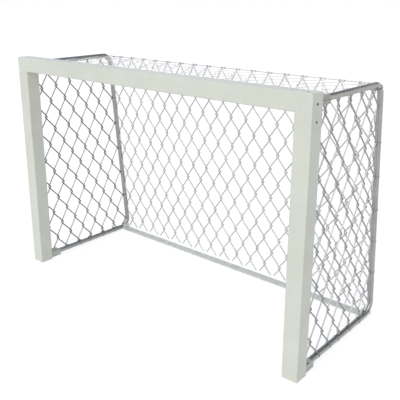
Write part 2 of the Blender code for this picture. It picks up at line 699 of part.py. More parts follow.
class Mesh:
    """A flat lattice of diamonds inside an outline, in two coordinates of its own plane.

    start is one crossing, across and down are unit vectors along its rows and columns. A crossing
    near the outline is moved to where its wire just clears it, and a wire ends square where one of
    its sides meets the outline."""

    def __init__(self, outline, start, across, down):
        self.outline = outline
        self.start = Vector(start)
        self.across = Vector(across) * MESH_WIDTH / 2
        self.down = Vector(down) * MESH_HEIGHT / 2
        self.points = {}
        self.links = {}
        self.lay()
        self.keep_largest()

    def outline_edges(self):
        return list(zip(self.outline, self.outline[1:] + self.outline[:1]))

    def depth_inside(self, point):
        """Distance to the outline, negative outside, and the unit direction into it there."""
        ways = []
        for a, b in self.outline_edges():
            along = b - a
            share = min(1, max(0, (point - a).dot(along) / along.length_squared))
            ways.append(point - (a + share * along))
        away = min(ways, key=lambda way: way.length)
        sign = 1 if self.holds(point) else -1
        return sign * away.length, sign * away.normalized()

    def holds(self, point):
        inside = False
        for a, b in self.outline_edges():
            if (a.y > point.y) != (b.y > point.y):
                if point.x < a.x + (point.y - a.y) / (b.y - a.y) * (b.x - a.x):
                    inside = not inside
        return inside

    def crossing(self, i, j):
        point = self.start + i * self.across + j * self.down
        depth, normal = self.depth_inside(point)
        if abs(depth) < SNAP_REACH:
            point = point + normal * (WIRE_REACH - depth)
        return point

    def crossings(self):
        reach = max((p - self.start).length for p in self.outline)
        count = math.ceil(reach / min(self.across.length, self.down.length)) + 1
        for i in range(-count, count + 1):
            for j in range(-count, count + 1):
                near = self.start + i * self.across + j * self.down
                margin = self.across.length + self.down.length
                if (i + j) % 2 == 0 and self.depth_inside(near)[0] > -margin:
                    yield i, j

    def lay(self):
        keys = {key: self.crossing(*key) for key in self.crossings()}
        for (i, j), first in keys.items():
            for step in (-1, 1):
                other = (i + step, j + 1)
                if other in keys:
                    self.add_wire((i, j), first, other, keys[other])

    def spans_inside(self, a, b):
        """The stretches of a wire from a to b, as shares of it, where its whole width is inside."""
        along = b - a
        side = WIRE_REACH * Vector((-along.y, along.x)).normalized()
        lines = (a - side, a, a + side)
        shares = {0.0, 1.0}
        for p, q in self.outline_edges():
            edge = q - p
            cross = along.cross(edge)
            if cross == 0:
                continue
            for start in lines:
                t = (p - start).cross(edge) / cross
                s = (p - start).cross(along) / cross
                if 0 < t < 1 and 0 <= s <= 1:
                    shares.add(t)
        shares = sorted(shares)
        spans = []
        for t0, t1 in zip(shares, shares[1:]):
            if all(self.holds(start + (t0 + t1) / 2 * along) for start in lines):
                if spans and spans[-1][1] == t0:
                    t0 = spans.pop()[0]
                spans.append((t0, t1))
        return spans

    def add_wire(self, key_a, a, key_b, b):
        """The parts of one wire that lie inside the outline."""
        along = b - a
        for t0, t1 in self.spans_inside(a, b):
            if (t1 - t0) * along.length < SHORTEST_WIRE:
                continue
            first = key_a if t0 == 0 else (key_a, key_b, t0)
            second = key_b if t1 == 1 else (key_a, key_b, t1)
            self.points[first] = a + t0 * along
            self.points[second] = a + t1 * along
            self.links.setdefault(first, []).append(second)
            self.links.setdefault(second, []).append(first)

    def keep_largest(self):
        left = set(self.links)
        largest = set()
        while left:
            group, front = set(), [next(iter(left))]
            while front:
                key = front.pop()
                if key not in group:
                    group.add(key)
                    front += self.links[key]
            left -= group
            largest = max(largest, group, key=len)
        self.links = {key: ends for key, ends in self.links.items() if key in largest}

    def sides_at(self, key):
        """For each wire that leaves a crossing or an end: its left and right corner there."""
        here = self.points[key]
        out = [((self.points[end] - here).normalized(), end) for end in self.links[key]]
        out.sort(key=lambda item: math.atan2(item[0].y, item[0].x))
        if len(out) == 1:
            direction, end = out[0]
            left = WIRE_REACH * Vector((-direction.y, direction.x))
            return {end: (here + left, here - left)}
        corners = []
        for (first, _), (second, _) in zip(out, out[1:] + out[:1]):
            turn = math.atan2(first.cross(second), first.dot(second)) % (2 * math.pi)
            reach = WIRE_REACH if turn > math.pi else WIRE_REACH / math.sin(turn / 2)
            corners.append(here + reach * (Matrix.Rotation(turn / 2, 2) @ first))
        return {end: (corners[k], corners[k - 1]) for k, (_, end) in enumerate(out)}

    def solid(self, to_space, normal):
        """One closed body. to_space turns a point of the plane into one in space."""
        bm = bmesh.new()
        made = {}

        def vertex(key, kind, point, lift):
            name = (key, kind)
            if name not in made:
                made[name] = bm.verts.new(to_space(point) + lift * normal)
            return made[name]

        rings = {}
        order = {key: number for number, key in enumerate(self.links)}
        for key in self.links:
            sides = self.sides_at(key)
            for end, (left, right) in sides.items():
                rings[key, end] = (
                    vertex(key, "ridge", self.points[key], WIRE_RIDGE),
                    vertex(key, tuple(left), left, WIRE_BASE),
                    vertex(key, tuple(right), right, WIRE_BASE),
                )
            if len(sides) == 1:
                bm.faces.new(rings[key, next(iter(sides))])
            elif len(sides) > 2:
                bm.faces.new([rings[key, end][1] for end in sides])
        for (key, end), (ridge, left, right) in rings.items():
            if order[key] < order[end]:
                far_ridge, far_left, far_right = rings[end, key]
                bm.faces.new((ridge, left, far_right, far_ridge))
                bm.faces.new((left, right, far_left, far_right))
                bm.faces.new((right, ridge, far_ridge, far_left))
        return bm


def side_mesh():
    """Outline and lattice of a side net, in (y, z). In the bends it keeps off the cable's loop."""
    low, high = socket_level_gap()
    front = RAIL_REAR + GAP
    notch = SOCKET_REAR + GAP
    line = hoop_line(notch, TUBE_REACH, TUBE_REACH + CABLE_DIAMETER + GAP)
    outline = [
        Vector((front, high - GAP)),
        Vector((notch, high - GAP)),
        *line,
        Vector((notch, low + GAP)),
        Vector((front, low + GAP)),
    ]
    top, base = hoop_corners()
    down = (base - top).normalized()
    return Mesh(outline, (SIDE_MESH_DEPTH, SIDE_MESH_HEIGHT), -inward(down), down)


def back_plane():
    """The cable's (y, z), which the back net hangs from, and the unit direction up in its plane."""
    cable, base = cable_depth_and_height(), hoop_corners()[1]
    return cable, (cable - base).normalized()


def cable_eye_end():
    """How far from the middle of the goal the cable's tail ends."""
    return HOOP_X - FERRULE_FROM_TUBE - FERRULE_LENGTH / 2 - CABLE_TAIL


def back_mesh():
    """Outline and lattice of the back net, in (x, distance above the cable's height). Its upper
    corners keep off the cable's ferrules and tails."""
    cable, up = back_plane()
    top = -(CABLE_RADIUS + GAP)
    below_tail = top - CABLE_DIAMETER - FERRULE_WALL - 2 * GAP
    bottom = -(cable.y - BACK_NET_LIFT) / up.y
    side, eye = NET_HALF_WIDTH, cable_eye_end() - GAP
    half = [(side, bottom), (side, below_tail), (eye, below_tail), (eye, top)]
    outline = [Vector(p) for p in half] + [Vector((-x, v)) for x, v in reversed(half)]
    start = (BACK_MESH_ASIDE, -BACK_MESH_BELOW_CABLE)
    return Mesh(outline, start, (1, 0), (0, -1))


def top_mesh():
    """Outline and lattice of the top net, in (x, y). It lies level with the cable, and its rear
    corners keep off the cable's loops."""
    front = RAIL_REAR + GAP
    notch = SOCKET_REAR + GAP
    rear = cable_depth_and_height().x - CABLE_RADIUS - GAP
    near, far = HOOP_X - SOCKET_WIDTH / 2 - GAP, NET_HALF_WIDTH
    tube, outward = cable_frame()
    eye_front = tube.x - outward.x * CABLE_LAP / math.cos(CABLE_TURN_STEP / 2) - CABLE_RADIUS - GAP
    eye = cable_eye_end() - GAP
    half = [
        (near, front), (near, notch), (far, notch), (far, eye_front), (eye, eye_front), (eye, rear)
    ]
    outline = [Vector(p) for p in half] + [Vector((-x, y)) for x, y in reversed(half)]
    return Mesh(outline, (TOP_MESH_ASIDE, TOP_MESH_DEPTH), (1, 0), (0, 1))


def make_nets(parent):
    cable, up = back_plane()
    back = back_mesh().solid(
        lambda p: Vector((p.x, cable.x + up.x * p.y, cable.y + up.y * p.y)),
        Vector((0, up.y, -up.x)),
    )
    add_mesh("back_net", back, NET_WIRE, parent)
    top = top_mesh().solid(lambda p: Vector((p.x, p.y, cable.y)), Vector((0, 0, 1)))
    add_mesh("top_net", top, NET_WIRE, parent)
    for word, side in SIDES.items():
        x = side * HOOP_X
        net = side_mesh().solid(lambda p, x=x: Vector((x, p.x, p.y)), Vector((1, 0, 0)))
        add_mesh(f"{word}_side_net", net, NET_WIRE, parent)


def apart(a, b, c, d):
    """Distance between the lines a to b and c to d in a plane, 0 where they cross."""
    def beside(point, p, q):
        share = min(1, max(0, (point - p).dot(q - p) / (q - p).length_squared))
        return (point - p - share * (q - p)).length

    parted = (b - a).cross(c - a) * (b - a).cross(d - a) >= 0
    if not parted and (d - c).cross(a - c) * (d - c).cross(b - c) < 0:
        return 0
    return min(beside(a, c, d), beside(b, c, d), beside(c, a, b), beside(d, a, b))


def pick(places, count, low, high):
    """The last of the places that lie between low and high, or an even spread if they are too few."""
    inside = [place for place in places if low <= place <= high]
    if len(inside) >= count:
        return inside[-count:]
    return [low + (high - low) * (k + 0.5) / count for k in range(count)]


def clip_reach():
    """How far a clip's ring reaches from the tube's centre line, at its corners."""
    turn = (2 * math.pi - CLIP_OPENING) / CLIP_STEPS
    return (TUBE_REACH + CLIP_WIRE / 2) / math.cos(turn / 2) + CLIP_WIRE / 2


def beside_wires(place, rings, low, high):
    """The place, or one near it, where the clip's ring clears the wires. Each entry of rings is a
    net's mesh and a function from a place to the two ends of the ring's cut in that net's plane."""
    room = CLIP_WIRE / 2 + WIRE_REACH + GAP
    steps = [0]
    for k in range(1, CLIP_STEPS_ASIDE + 1):
        steps += [k, -k]

    def clearance(at):
        return min(
            apart(*ring(at), net.points[key], net.points[end])
            for net, ring in rings
            for key, ends in net.links.items()
            for end in ends
        )

    tries = [place + k * CLIP_STEP_ASIDE for k in steps]
    tries = [at for at in tries if low <= at <= high]
    return next((at for at in tries if clearance(at) >= room), max(tries, key=clearance))


def clip_places():
    """Where clips sit on a hoop, as (name, (y, z) on its centre line, direction of the tube)."""
    top, base = hoop_corners()
    down = (base - top).normalized()
    across = -inward(down)
    side_net, back_net = side_mesh(), back_mesh()
    half_width, half_height = MESH_WIDTH / 2, MESH_HEIGHT / 2
    start = side_net.start
    end_room = CLIP_WIRE / 2 + GAP
    reach = clip_reach()
    places = []

    rows = round((start.y - GROUND_ARM_HEIGHT - TUBE_REACH) / (half_height * -down.y))
    low = SOCKET_REAR + end_room
    bar_front = bar_bolt_place()[0] - BAR_WIDTH / 2
    high = min(hoop_bends()[1][0].x, bar_front) - end_room
    apexes = [
        (start + i * half_width * across + rows * half_height * down).x
        for i in range(-rows, 2 * rows)
        if (i + rows) % 2 == 0
    ]

    def arm_ring(y):
        return [Vector((y, GROUND_ARM_HEIGHT + r)) for r in (TUBE_RADIUS, reach)]

    for number, y in enumerate(pick(apexes, CLIPS_ON_EACH_ARM, low, high), start=1):
        y = beside_wires(y, [(side_net, arm_ring)], low, high)
        places.append((f"arm_{number}", Vector((y, GROUND_ARM_HEIGHT)), Vector((-1, 0))))

    columns = math.floor(((leg_depth(start.y) - start.x) * -down.y - TUBE_REACH) / half_width)
    (_, _, top_turn), (_, _, base_turn) = hoop_bends()
    low = BEND_RADIUS * math.tan(top_turn / 2) + end_room
    high = (base - top).length - BEND_RADIUS * math.tan(base_turn / 2) - end_room
    apexes = [
        (start + columns * half_width * across + j * half_height * down - top).dot(down)
        for j in range(-rows, rows + 1)
        if (j + columns) % 2 == 0
    ]
    cable, up = back_plane()

    def leg_ring(drop):
        return [top + drop * down + r * inward(down) for r in (TUBE_RADIUS, reach)]

    def leg_ring_at_back(drop):
        height = (top + drop * down - cable).dot(up)
        return [Vector((HOOP_X - r, height)) for r in (TUBE_RADIUS, reach)]

    def left_leg_ring_at_back(drop):
        return [Vector((-p.x, p.y)) for p in leg_ring_at_back(drop)]

    rings = [
        (side_net, leg_ring), (back_net, leg_ring_at_back), (back_net, left_leg_ring_at_back)
    ]
    for number, drop in enumerate(pick(apexes, CLIPS_ON_EACH_LEG, low, high), start=1):
        drop = beside_wires(drop, rings, low, high)
        places.append((f"leg_{number}", top + drop * down, down))
    return places


def make_clips(parent):
    """Open rings of wire round the tubes, with the opening to the ground or to the back."""
    ring = TUBE_REACH + CLIP_WIRE / 2
    turn = (2 * math.pi - CLIP_OPENING) / CLIP_STEPS
    beside = Vector((1, 0, 0))
    for name, centre, along in clip_places():
        open_way = Vector((0, *-inward(along)))
        for word, side in SIDES.items():
            middle = Vector((side * HOOP_X, centre.x, centre.y))
            loops = []
            for k in range(CLIP_STEPS + 1):
                t = CLIP_OPENING / 2 + turn * k
                outward = math.cos(t) * open_way + math.sin(t) * beside
                reach = ring if k in (0, CLIP_STEPS) else ring / math.cos(turn / 2)
                axes = (outward, Vector((0, along.x, along.y)))
                loops.append(circle(CLIP_WIRE / 2, middle + reach * outward, axes, CLIP_SIDES))
            add_mesh(f"{word}_net_clip_{name}", stack(loops), CLIP_STEEL, parent)


def build():
    clear_scene()
    rear = hoop_bends()[1][0].x + BEND_RADIUS + TUBE_RADIUS
    goal = bpy.data.objects.new("goal", None)
    bpy.context.scene.collection.objects.link(goal)
    goal.location = (0, -rear / 2, 0)
    make_frame(goal)
    make_rails(goal)
    for word, side in SIDES.items():
        make_corner(goal, word, side)
        make_foot_plug(goal, word, side)
        make_hoop(goal, word, side)
        make_socket(goal, word, side, "ground", 1)
        make_socket(goal, word, side, "top", -1)
        make_bar_bolt(goal, word, side)
        make_ferrule(goal, word, side)
    make_clips(goal)
    make_ground_bar(goal)
    make_cable(goal)
    make_nets(goal)


build()
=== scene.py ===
"""A small aluminium training goal: square front frame, two bent tubes behind it, a flat ground bar and
chain-link netting on the back, the sides and the top. Everything is in metres, in the CAD's frame."""
import math

import bpy
from mathutils import Matrix, Vector, noise


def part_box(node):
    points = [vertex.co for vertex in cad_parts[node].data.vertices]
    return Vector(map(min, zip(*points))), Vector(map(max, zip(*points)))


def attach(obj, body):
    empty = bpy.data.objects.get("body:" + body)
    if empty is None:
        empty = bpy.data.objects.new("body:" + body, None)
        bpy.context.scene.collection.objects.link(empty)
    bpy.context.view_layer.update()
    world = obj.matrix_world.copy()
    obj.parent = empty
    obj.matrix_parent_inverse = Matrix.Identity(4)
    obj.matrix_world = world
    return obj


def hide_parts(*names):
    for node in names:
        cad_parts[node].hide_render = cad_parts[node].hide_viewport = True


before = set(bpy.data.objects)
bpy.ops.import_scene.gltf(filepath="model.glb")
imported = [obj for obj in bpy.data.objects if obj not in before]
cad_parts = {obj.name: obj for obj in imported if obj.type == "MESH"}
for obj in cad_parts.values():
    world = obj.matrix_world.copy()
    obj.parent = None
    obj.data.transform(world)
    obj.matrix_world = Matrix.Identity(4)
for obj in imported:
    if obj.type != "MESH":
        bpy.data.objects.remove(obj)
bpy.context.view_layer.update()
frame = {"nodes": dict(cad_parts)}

SIDES = {"left": -1, "right": 1}
WORLD_UP = Vector((0, 0, 1))
TO_THE_RIGHT = Vector((1, 0, 0))

# The gap between pieces that lie against each other
CLEAR = 0.0003

# Places that the frame gives
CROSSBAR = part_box("crossbar")
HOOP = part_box("right_net_hoop")
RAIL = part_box("right_net_rail")
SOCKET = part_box("right_top_socket")
GROUND_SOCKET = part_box("right_ground_socket")
FRONT = CROSSBAR[0].y
TUBE_RADIUS = (HOOP[1].x - HOOP[0].x) / 2
HOOP_X = (HOOP[1].x + HOOP[0].x) / 2
TOP_ARM_HEIGHT = HOOP[1].z - TUBE_RADIUS
GROUND_ARM_HEIGHT = HOOP[0].z + TUBE_RADIUS
HOOP_FRONT = HOOP[0].y
RAIL_REAR = RAIL[1].y
SOCKET_REAR = SOCKET[1].y

# The hoops: the depths are those of the centre line's sharp corners behind the front face
TOP_DEPTH = 0.665
BASE_DEPTH = 0.779
BEND_RADIUS = 0.060
BEND_STEPS = 16
TUBE_WALL = 0.002
SKIN_UNDER_CAD = 0.0004
TUBE_SKIN = TUBE_RADIUS - SKIN_UNDER_CAD
TUBE_SIDES = 48

# The rope round the top bends, and the sleeve on each of its ends
CABLE_RADIUS = 0.002
CABLE_LAP = TUBE_RADIUS + CLEAR + CABLE_RADIUS
CABLE_TAIL = 0.006
STRANDS = 6
STRAND_RADIUS = 0.00068
STRAND_SIDES = 6
STRAND_LAY = 0.026
STEPS_IN_A_LAY = 8
EYE_START = math.pi / 2
EYE_END = -3 * math.pi / 4
EYE_STEPS = 24
SPAN_STEPS = 60
FERRULE_FROM_TUBE = 0.051
FERRULE_LENGTH = 0.018
FERRULE_WALL = 0.0014
FERRULE_EDGE = 0.0007
FERRULE_STEPS = 24
FERRULE_ARC_STEPS = 10
CRIMPS = 3
CRIMP_DEPTH = 0.00035

# The tail's bend into a sleeve: places from the sleeve's mouth, towards the tube and outward
TAIL_BEND = ((0.010, -0.004), (0.004, -0.0008), (0.0, 0.0))

# The wire mesh: a diamond's size, and how far a wire reaches past its neighbour's middle
WIRE_RADIUS = 0.0036
TOP_WIRE_RADIUS = 0.0017
WIRE_SIDES = 8
MESH_WIDTH = 0.1049
MESH_HEIGHT = 0.1766
HALF_MESH = MESH_WIDTH / 2
TURN_RADIUS = 0.0037
TURN_REACH = 0.0066
TURN_STEPS = 3
SHORTEST_WIRE = 0.030
CUT_HALVINGS = 14
SOFTENINGS = 2
LAP = TUBE_RADIUS + WIRE_RADIUS + CLEAR
HOOP_INSIDE = HOOP_X - LAP

# The nets' slight waves, whose sideways part dies out near the tubes beside them
WAVE = 0.0012
WAVE_SCALE = 7.0
WAVE_SLICE = 0.37
WAVE_SEED = 8
CALM_BY_LEG = 0.08
CALM_BY_HOOP = 0.04
CALM_FADE = 0.1

# Where each net's mesh lies, and where its wires are cut
BACK_MESH_ASIDE = 0.003
BACK_MESH_BELOW_CABLE = 0.0095
BACK_WIRES_FROM_NODE = 0.0147
BACK_WIRES_STRETCH = 0.0142
BACK_WIRES_SHORT = 0.002
BACK_NET_LIFT = 0.019
TOP_MESH_ASIDE = -0.0276
TOP_MESH_DEPTH = 0.553
TOP_WIRES_FROM_CABLE = 0.009
TOP_WIRES_SHORT = 0.009
TOP_NET_BEHIND_SOCKET = 0.012
SIDE_MESH_DEPTH = 0.185
SIDE_MESH_HEIGHT = 1.000
SIDE_FIRST_COLUMN = -5
SIDE_WIRES_ABOVE = 0.5
SIDE_WIRES_BELOW = -1.2
NET_FROM_SOCKET = 0.006
NET_UNDER_SOCKET = 0.004
CABLE_END_FROM_HOOKS = 0.006

# How the wires end: at a rail, round a tube and over the rope
AT_RAIL = 0.004
AT_SOCKET = 0.008
AT_CUT = 0.001
TOP_NET_AT_RAIL = 0.002
CURL_RADIUS = 0.0045
CURL_TURN = math.radians(250)
CURL_FLATNESS = 0.9
HOOK_STEPS = 7
HOOK_TURN = math.radians(20)
GROUND_HOOK_TURN = math.radians(8)
HOOK_CLOSES_WITHIN = math.radians(40)
ABOVE_GROUND_ARM = 0.004
SLIM = 0.6
CABLE_HOOK_STEPS = 8
CABLE_HOOK_END = 0.004

# An end's lean on its way up to the rope: shares of the way up and of the way to the rope's side
CABLE_HOOK_LEAN = ((0.35, 0.7), (0.7, 1.0))

# The cap screws' heads, with foot and rounding as shares of the head's radius
SCREW_HEAD_DEPTH = 0.005
HEAD_SIDES = 36
HEAD_FOOT = 0.97
HEAD_ROUNDING = 0.16
HEAD_ROUNDING_STEPS = 4
HEAD_BEVEL = 0.0003

# Their recesses: widths as shares of the width over the flats, depths as shares of the head's depth
CORNER_SCREW_FLATS = 0.006
CLAMP_SCREW_FLATS = 0.005
RECESS_MOUTH_WIDTH = 1.12
RECESS_WALL_DEPTH = 0.6
RECESS_TIP_DEPTH = 0.78
RECESS_TIP_WIDTH = 0.30

# Their shanks, as a share of the head's radius, and threads
SHANK_SHARE = 0.62
SHANK_SIDES = 24
SHANK_INTO_HEAD = 0.0001
THREAD_PITCH = 0.00125
THREAD_DEPTH = 0.0005
PLAIN_TIP = 0.001
TIP_BEVEL = 0.0008

# Tie wires: the two turns' places beside the middle are in wire radii
TIE_RADIUS = 0.0008
TIE_TURN_ASIDE = 1.05
TIE_STEPS = 22
TIE_HALF_OPENING = math.radians(44)
ARM_KNOT_RADIUS = 0.0014
LEG_KNOT_RADIUS = 0.0009
KNOT_SIDES = 6
KNOT_POINTS = 19
KNOT_STEP = 0.0009
KNOT_TWIST = 0.75
TIES_IN_A_ROW = 5

# Edges sharper than this many degrees stay sharp
SMOOTH_ANGLE = 65
SCREW_SMOOTH_ANGLE = 35


def limited(value):
    """The value, kept from 0 to 1."""
    return max(0.0, min(1.0, value))


def angles(count):
    """Even angles of a full turn."""
    return [2 * math.pi * k / count for k in range(count)]


def arc(centre, radius, start, end, steps):
    """Points of a flat arc from one angle to another."""
    turns = [start + (end - start) * k / steps for k in range(steps + 1)]
    return [centre + radius * Vector((math.cos(t), math.sin(t))) for t in turns]


def ring(centre, radius, first, second, sides):
    """Points round a centre, in the plane of two directions."""
    return [centre + radius * (math.cos(t) * first + math.sin(t) * second) for t in angles(sides)]


def turned_ring(place, radius, height, sides):
    """Points round a place's z axis."""
    return [place @ Vector((radius * math.cos(t), radius * math.sin(t), height)) for t in angles(sides)]


def heading(path, i):
    """Direction of a path at one of its points."""
    return (path[min(i + 1, len(path) - 1)] - path[max(i - 1, 0)]).normalized()


def carried_frames(path):
    """Each point of a path with two directions square to the path, which don't twist along it."""
    frames = []
    across = None
    for i, point in enumerate(path):
        along = heading(path, i)
        if across is None:
            across = along.orthogonal()
        across = (across - across.dot(along) * along).normalized()
        frames.append((point, across, along.cross(across)))
    return frames


def length_of(path):
    return sum((b - a).length for a, b in zip(path, path[1:]))


class Shape:
    """Collects the vertices and faces of one piece."""

    def __init__(self):
        self.points = []
        self.faces = []

    def loft(self, rings, closed=False):
        """Joins rings of points; closed joins the last ring to the first, and else both get a cap."""
        base = len(self.points)
        count = len(rings[0])
        for points in rings:
            self.points += points
        rows = len(rings) if closed else len(rings) - 1
        for r in range(rows):
            low = base + r * count
            high = base + (r + 1) % len(rings) * count
            for k in range(count):
                after = (k + 1) % count
                self.faces.append((low + k, low + after, high + after, high + k))
        if not closed:
            self.faces.append(tuple(base + k for k in reversed(range(count))))
            last = base + (len(rings) - 1) * count
            self.faces.append(tuple(last + k for k in range(count)))

    def sweep(self, path, radius, sides=WIRE_SIDES, slim=0):
        """A round bar along a path; slim is how many of its first points are thinner."""
        rings = []
        for i, (point, across, other) in enumerate(carried_frames(path)):
            reach = radius * SLIM if i < slim else radius
            rings.append(ring(point, reach, across, other, sides))
        self.loft(rings)

    def lathe(self, profile, place, sides):
        """Turns a profile of (radius, height) round a place's z axis."""
        self.loft([turned_ring(place, radius, height, sides) for radius, height in profile])

    def piece(self, name, node, material, smooth_angle=SMOOTH_ANGLE):
        """Makes the piece, which takes a CAD node's place."""
        mesh = bpy.data.meshes.new(name)
        mesh.from_pydata([tuple(p) for p in self.points], [], self.faces)
        mesh.validate()
        mesh.polygons.foreach_set("use_smooth", [True] * len(mesh.polygons))
        mesh.set_sharp_from_angle(angle=math.radians(smooth_angle))
        obj = bpy.data.objects.new(name, mesh)
        bpy.context.scene.collection.objects.link(obj)
        mesh.materials.append(material)
        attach(obj, "root")
        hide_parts(node)
        return obj


# The hoops' centre line, in (y, z)


def hoop_corners():
    """The sharp corners at the top and on the ground."""
    return (
        Vector((FRONT + TOP_DEPTH, TOP_ARM_HEIGHT)),
        Vector((FRONT + BASE_DEPTH, GROUND_ARM_HEIGHT)),
    )


def hoop_bends():
    """Centre, first angle and last angle of the two bends."""
    top, base = hoop_corners()
    down = (base - top).normalized()
    lean = math.atan2(-down.x, -down.y)
    top_turn = math.pi / 2 + lean
    base_turn = math.pi / 2 - lean
    top_centre = top + Vector((-math.tan(top_turn / 2), -1)) * BEND_RADIUS
    base_centre = base + Vector((-math.tan(base_turn / 2), 1)) * BEND_RADIUS
    return (
        (top_centre, math.pi / 2, math.pi / 2 - top_turn),
        (base_centre, math.pi / 2 - top_turn, -math.pi / 2),
    )


def hoop_line():
    """From the top arm's front end to the ground arm's, with the bends as arcs."""
    points = [Vector((HOOP_FRONT, TOP_ARM_HEIGHT))]
    for centre, first, last in hoop_bends():
        points += arc(centre, BEND_RADIUS, first, last, BEND_STEPS)
    return points + [Vector((HOOP_FRONT, GROUND_ARM_HEIGHT))]


HOOP_LINE = hoop_line()
TOP_CORNER, BASE_CORNER = hoop_corners()
LEG_UP = (TOP_CORNER - BASE_CORNER).normalized()


def at_hoop(side, point):
    """A point (y, z) in the plane of one side's hoop."""
    return Vector((side * HOOP_X, point.x, point.y))


def nearest_on_hoop(point):
    """The gap from a point (y, z) to the hoop's centre line, the line's place there and its direction."""
    best = None
    for start, end in zip(HOOP_LINE, HOOP_LINE[1:]):
        along = end - start
        part = limited((point - start).dot(along) / along.length_squared)
        place = start + part * along
        gap = (point - place).length
        if best is None or gap < best[0]:
            best = (gap, place, along.normalized())
    return best


def leg_depth(height):
    """Depth of the rear leg's centre line at a height."""
    share = (height - BASE_CORNER.y) / (TOP_CORNER.y - BASE_CORNER.y)
    return BASE_CORNER.x + share * (TOP_CORNER.x - BASE_CORNER.x)


def top_bend_crossing():
    """Centre of the tube in the middle of the top bend, and the way out of the bend there."""
    centre, first, last = hoop_bends()[0]
    middle = (first + last) / 2
    outward = Vector((math.cos(middle), math.sin(middle)))
    return centre + outward * BEND_RADIUS, outward


CROSSING, OUTWARD = top_bend_crossing()
CABLE = CROSSING + OUTWARD * CABLE_LAP


# Materials


class Look:
    """A material whose colour, roughness and relief come from noise in the object's space."""

    def __init__(self, name, metallic):
        self.material = bpy.data.materials.new(name)
        self.material.use_nodes = True
        self.nodes = self.material.node_tree.nodes
        self.links = self.material.node_tree.links
        self.shader = self.nodes["Principled BSDF"]
        self.shader.inputs["Metallic"].default_value = metallic
        self.place = self.nodes.new("ShaderNodeTexCoord").outputs["Object"]

    def noise(self, scale, detail, stretch=(1, 1, 1), rough=0.55):
        mapping = self.nodes.new("ShaderNodeMapping")
        mapping.inputs["Scale"].default_value = stretch
        self.links.new(self.place, mapping.inputs["Vector"])
        texture = self.nodes.new("ShaderNodeTexNoise")
        texture.inputs["Scale"].default_value = scale
        texture.inputs["Detail"].default_value = detail
        texture.inputs["Roughness"].default_value = rough
        self.links.new(mapping.outputs["Vector"], texture.inputs["Vector"])
        return texture.outputs["Fac"]

    def ramp(self, value, low, high, low_at=0.35, high_at=0.65):
        """Colours from low to high, as the value goes from one place to the other."""
        ramp = self.nodes.new("ShaderNodeValToRGB")
        ramp.color_ramp.elements[0].position = low_at
        ramp.color_ramp.elements[1].position = high_at
        ramp.color_ramp.elements[0].color = (*low, 1)
        ramp.color_ramp.elements[1].color = (*high, 1)
        self.links.new(value, ramp.inputs["Fac"])
        return ramp.outputs["Color"]

    def feed(self, value, socket):
        """Links a value that is an output, and sets one that is a number or a colour."""
        if hasattr(value, "is_linked"):
            self.links.new(value, socket)
        else:
            socket.default_value = value

    def blend(self, factor, first, second, kind="MIX"):
        mix = self.nodes.new("ShaderNodeMix")
        mix.data_type = "RGBA"
        mix.blend_type = kind
        # The colour sockets of the node: factor 0, colours 6 and 7, result 2
        self.feed(factor, mix.inputs[0])
        self.feed(first, mix.inputs[6])
        self.feed(second, mix.inputs[7])
        return mix.outputs[2]

    def mapped(self, value, from_low, from_high, low, high):
        """Maps one range of numbers onto another."""
        span = self.nodes.new("ShaderNodeMapRange")
        span.inputs["From Min"].default_value = from_low
        span.inputs["From Max"].default_value = from_high
        span.inputs["To Min"].default_value = low
        span.inputs["To Max"].default_value = high
        self.links.new(value, span.inputs["Value"])
        return span.outputs["Result"]

    def past(self, plane, blur=0.001):
        """0 on the left of a plane of x and 1 on its right."""
        split = self.nodes.new("ShaderNodeSeparateXYZ")
        self.links.new(self.place, split.inputs["Vector"])
        return self.mapped(split.outputs["X"], plane - blur, plane + blur, 0.0, 1.0)

    def colour(self, value):
        self.links.new(value, self.shader.inputs["Base Color"])

    def roughness(self, value, low, high):
        """Roughness from low to high, as noise goes over most of its range."""
        self.links.new(self.mapped(value, 0.3, 0.7, low, high), self.shader.inputs["Roughness"])

    def relief(self, *layers):
        """Bumps, each (noise, height in metres)."""
        normal = None
        for value, height in layers:
            bump = self.nodes.new("ShaderNodeBump")
            bump.inputs["Strength"].default_value = 1.0
            bump.inputs["Distance"].default_value = height
            self.links.new(value, bump.inputs["Height"])
            if normal is not None:
                self.links.new(normal, bump.inputs["Normal"])
            normal = bump.outputs["Normal"]
        self.links.new(normal, self.shader.inputs["Normal"])


def times(tone, factor):
    return tuple(c * factor for c in tone)


def stretched(axis, factor):
    """Scales of a noise that is drawn out along one axis."""
    return tuple(factor if k == axis else 1 for k in range(3))


def extrusion(name, axis):
    """Matt anodised profile: fine die lines along it, soft clouds in the tone, a few rubbed spots."""
    look = Look(name, 0.15)
    lines = look.noise(900, 2, stretched(axis, 0.006))
    clouds = look.noise(5, 4)
    rubs = look.noise(40, 6, stretched(axis, 0.25), 0.7)
    base = look.ramp(clouds, (0.665, 0.685, 0.585), (0.720, 0.740, 0.640))
    lined = look.blend(0.15, base, look.ramp(lines, (0.65, 0.67, 0.58), (0.74, 0.76, 0.665)))
    worn = look.ramp(rubs, (0, 0, 0), (1, 1, 1), 0.66, 0.74)
    look.colour(look.blend(worn, lined, (0.60, 0.62, 0.56, 1)))
    look.roughness(rubs, 0.42, 0.56)
    look.relief((lines, 0.00002), (clouds, 0.0003))
    return look.material


def cast(name, tone):
    """Cast aluminium: sandy skin with darker pits."""
    look = Look(name, 0.45)
    grain = look.noise(420, 4, rough=0.6)
    clouds = look.noise(18, 4)
    base = look.ramp(clouds, times(tone, 0.90), times(tone, 1.06))
    pits = look.ramp(grain, times(tone, 0.72), times(tone, 1.06), 0.30, 0.44)
    look.colour(look.blend(0.4, base, pits))
    look.roughness(grain, 0.50, 0.66)
    look.relief((grain, 0.0003), (clouds, 0.0010))
    return look.material


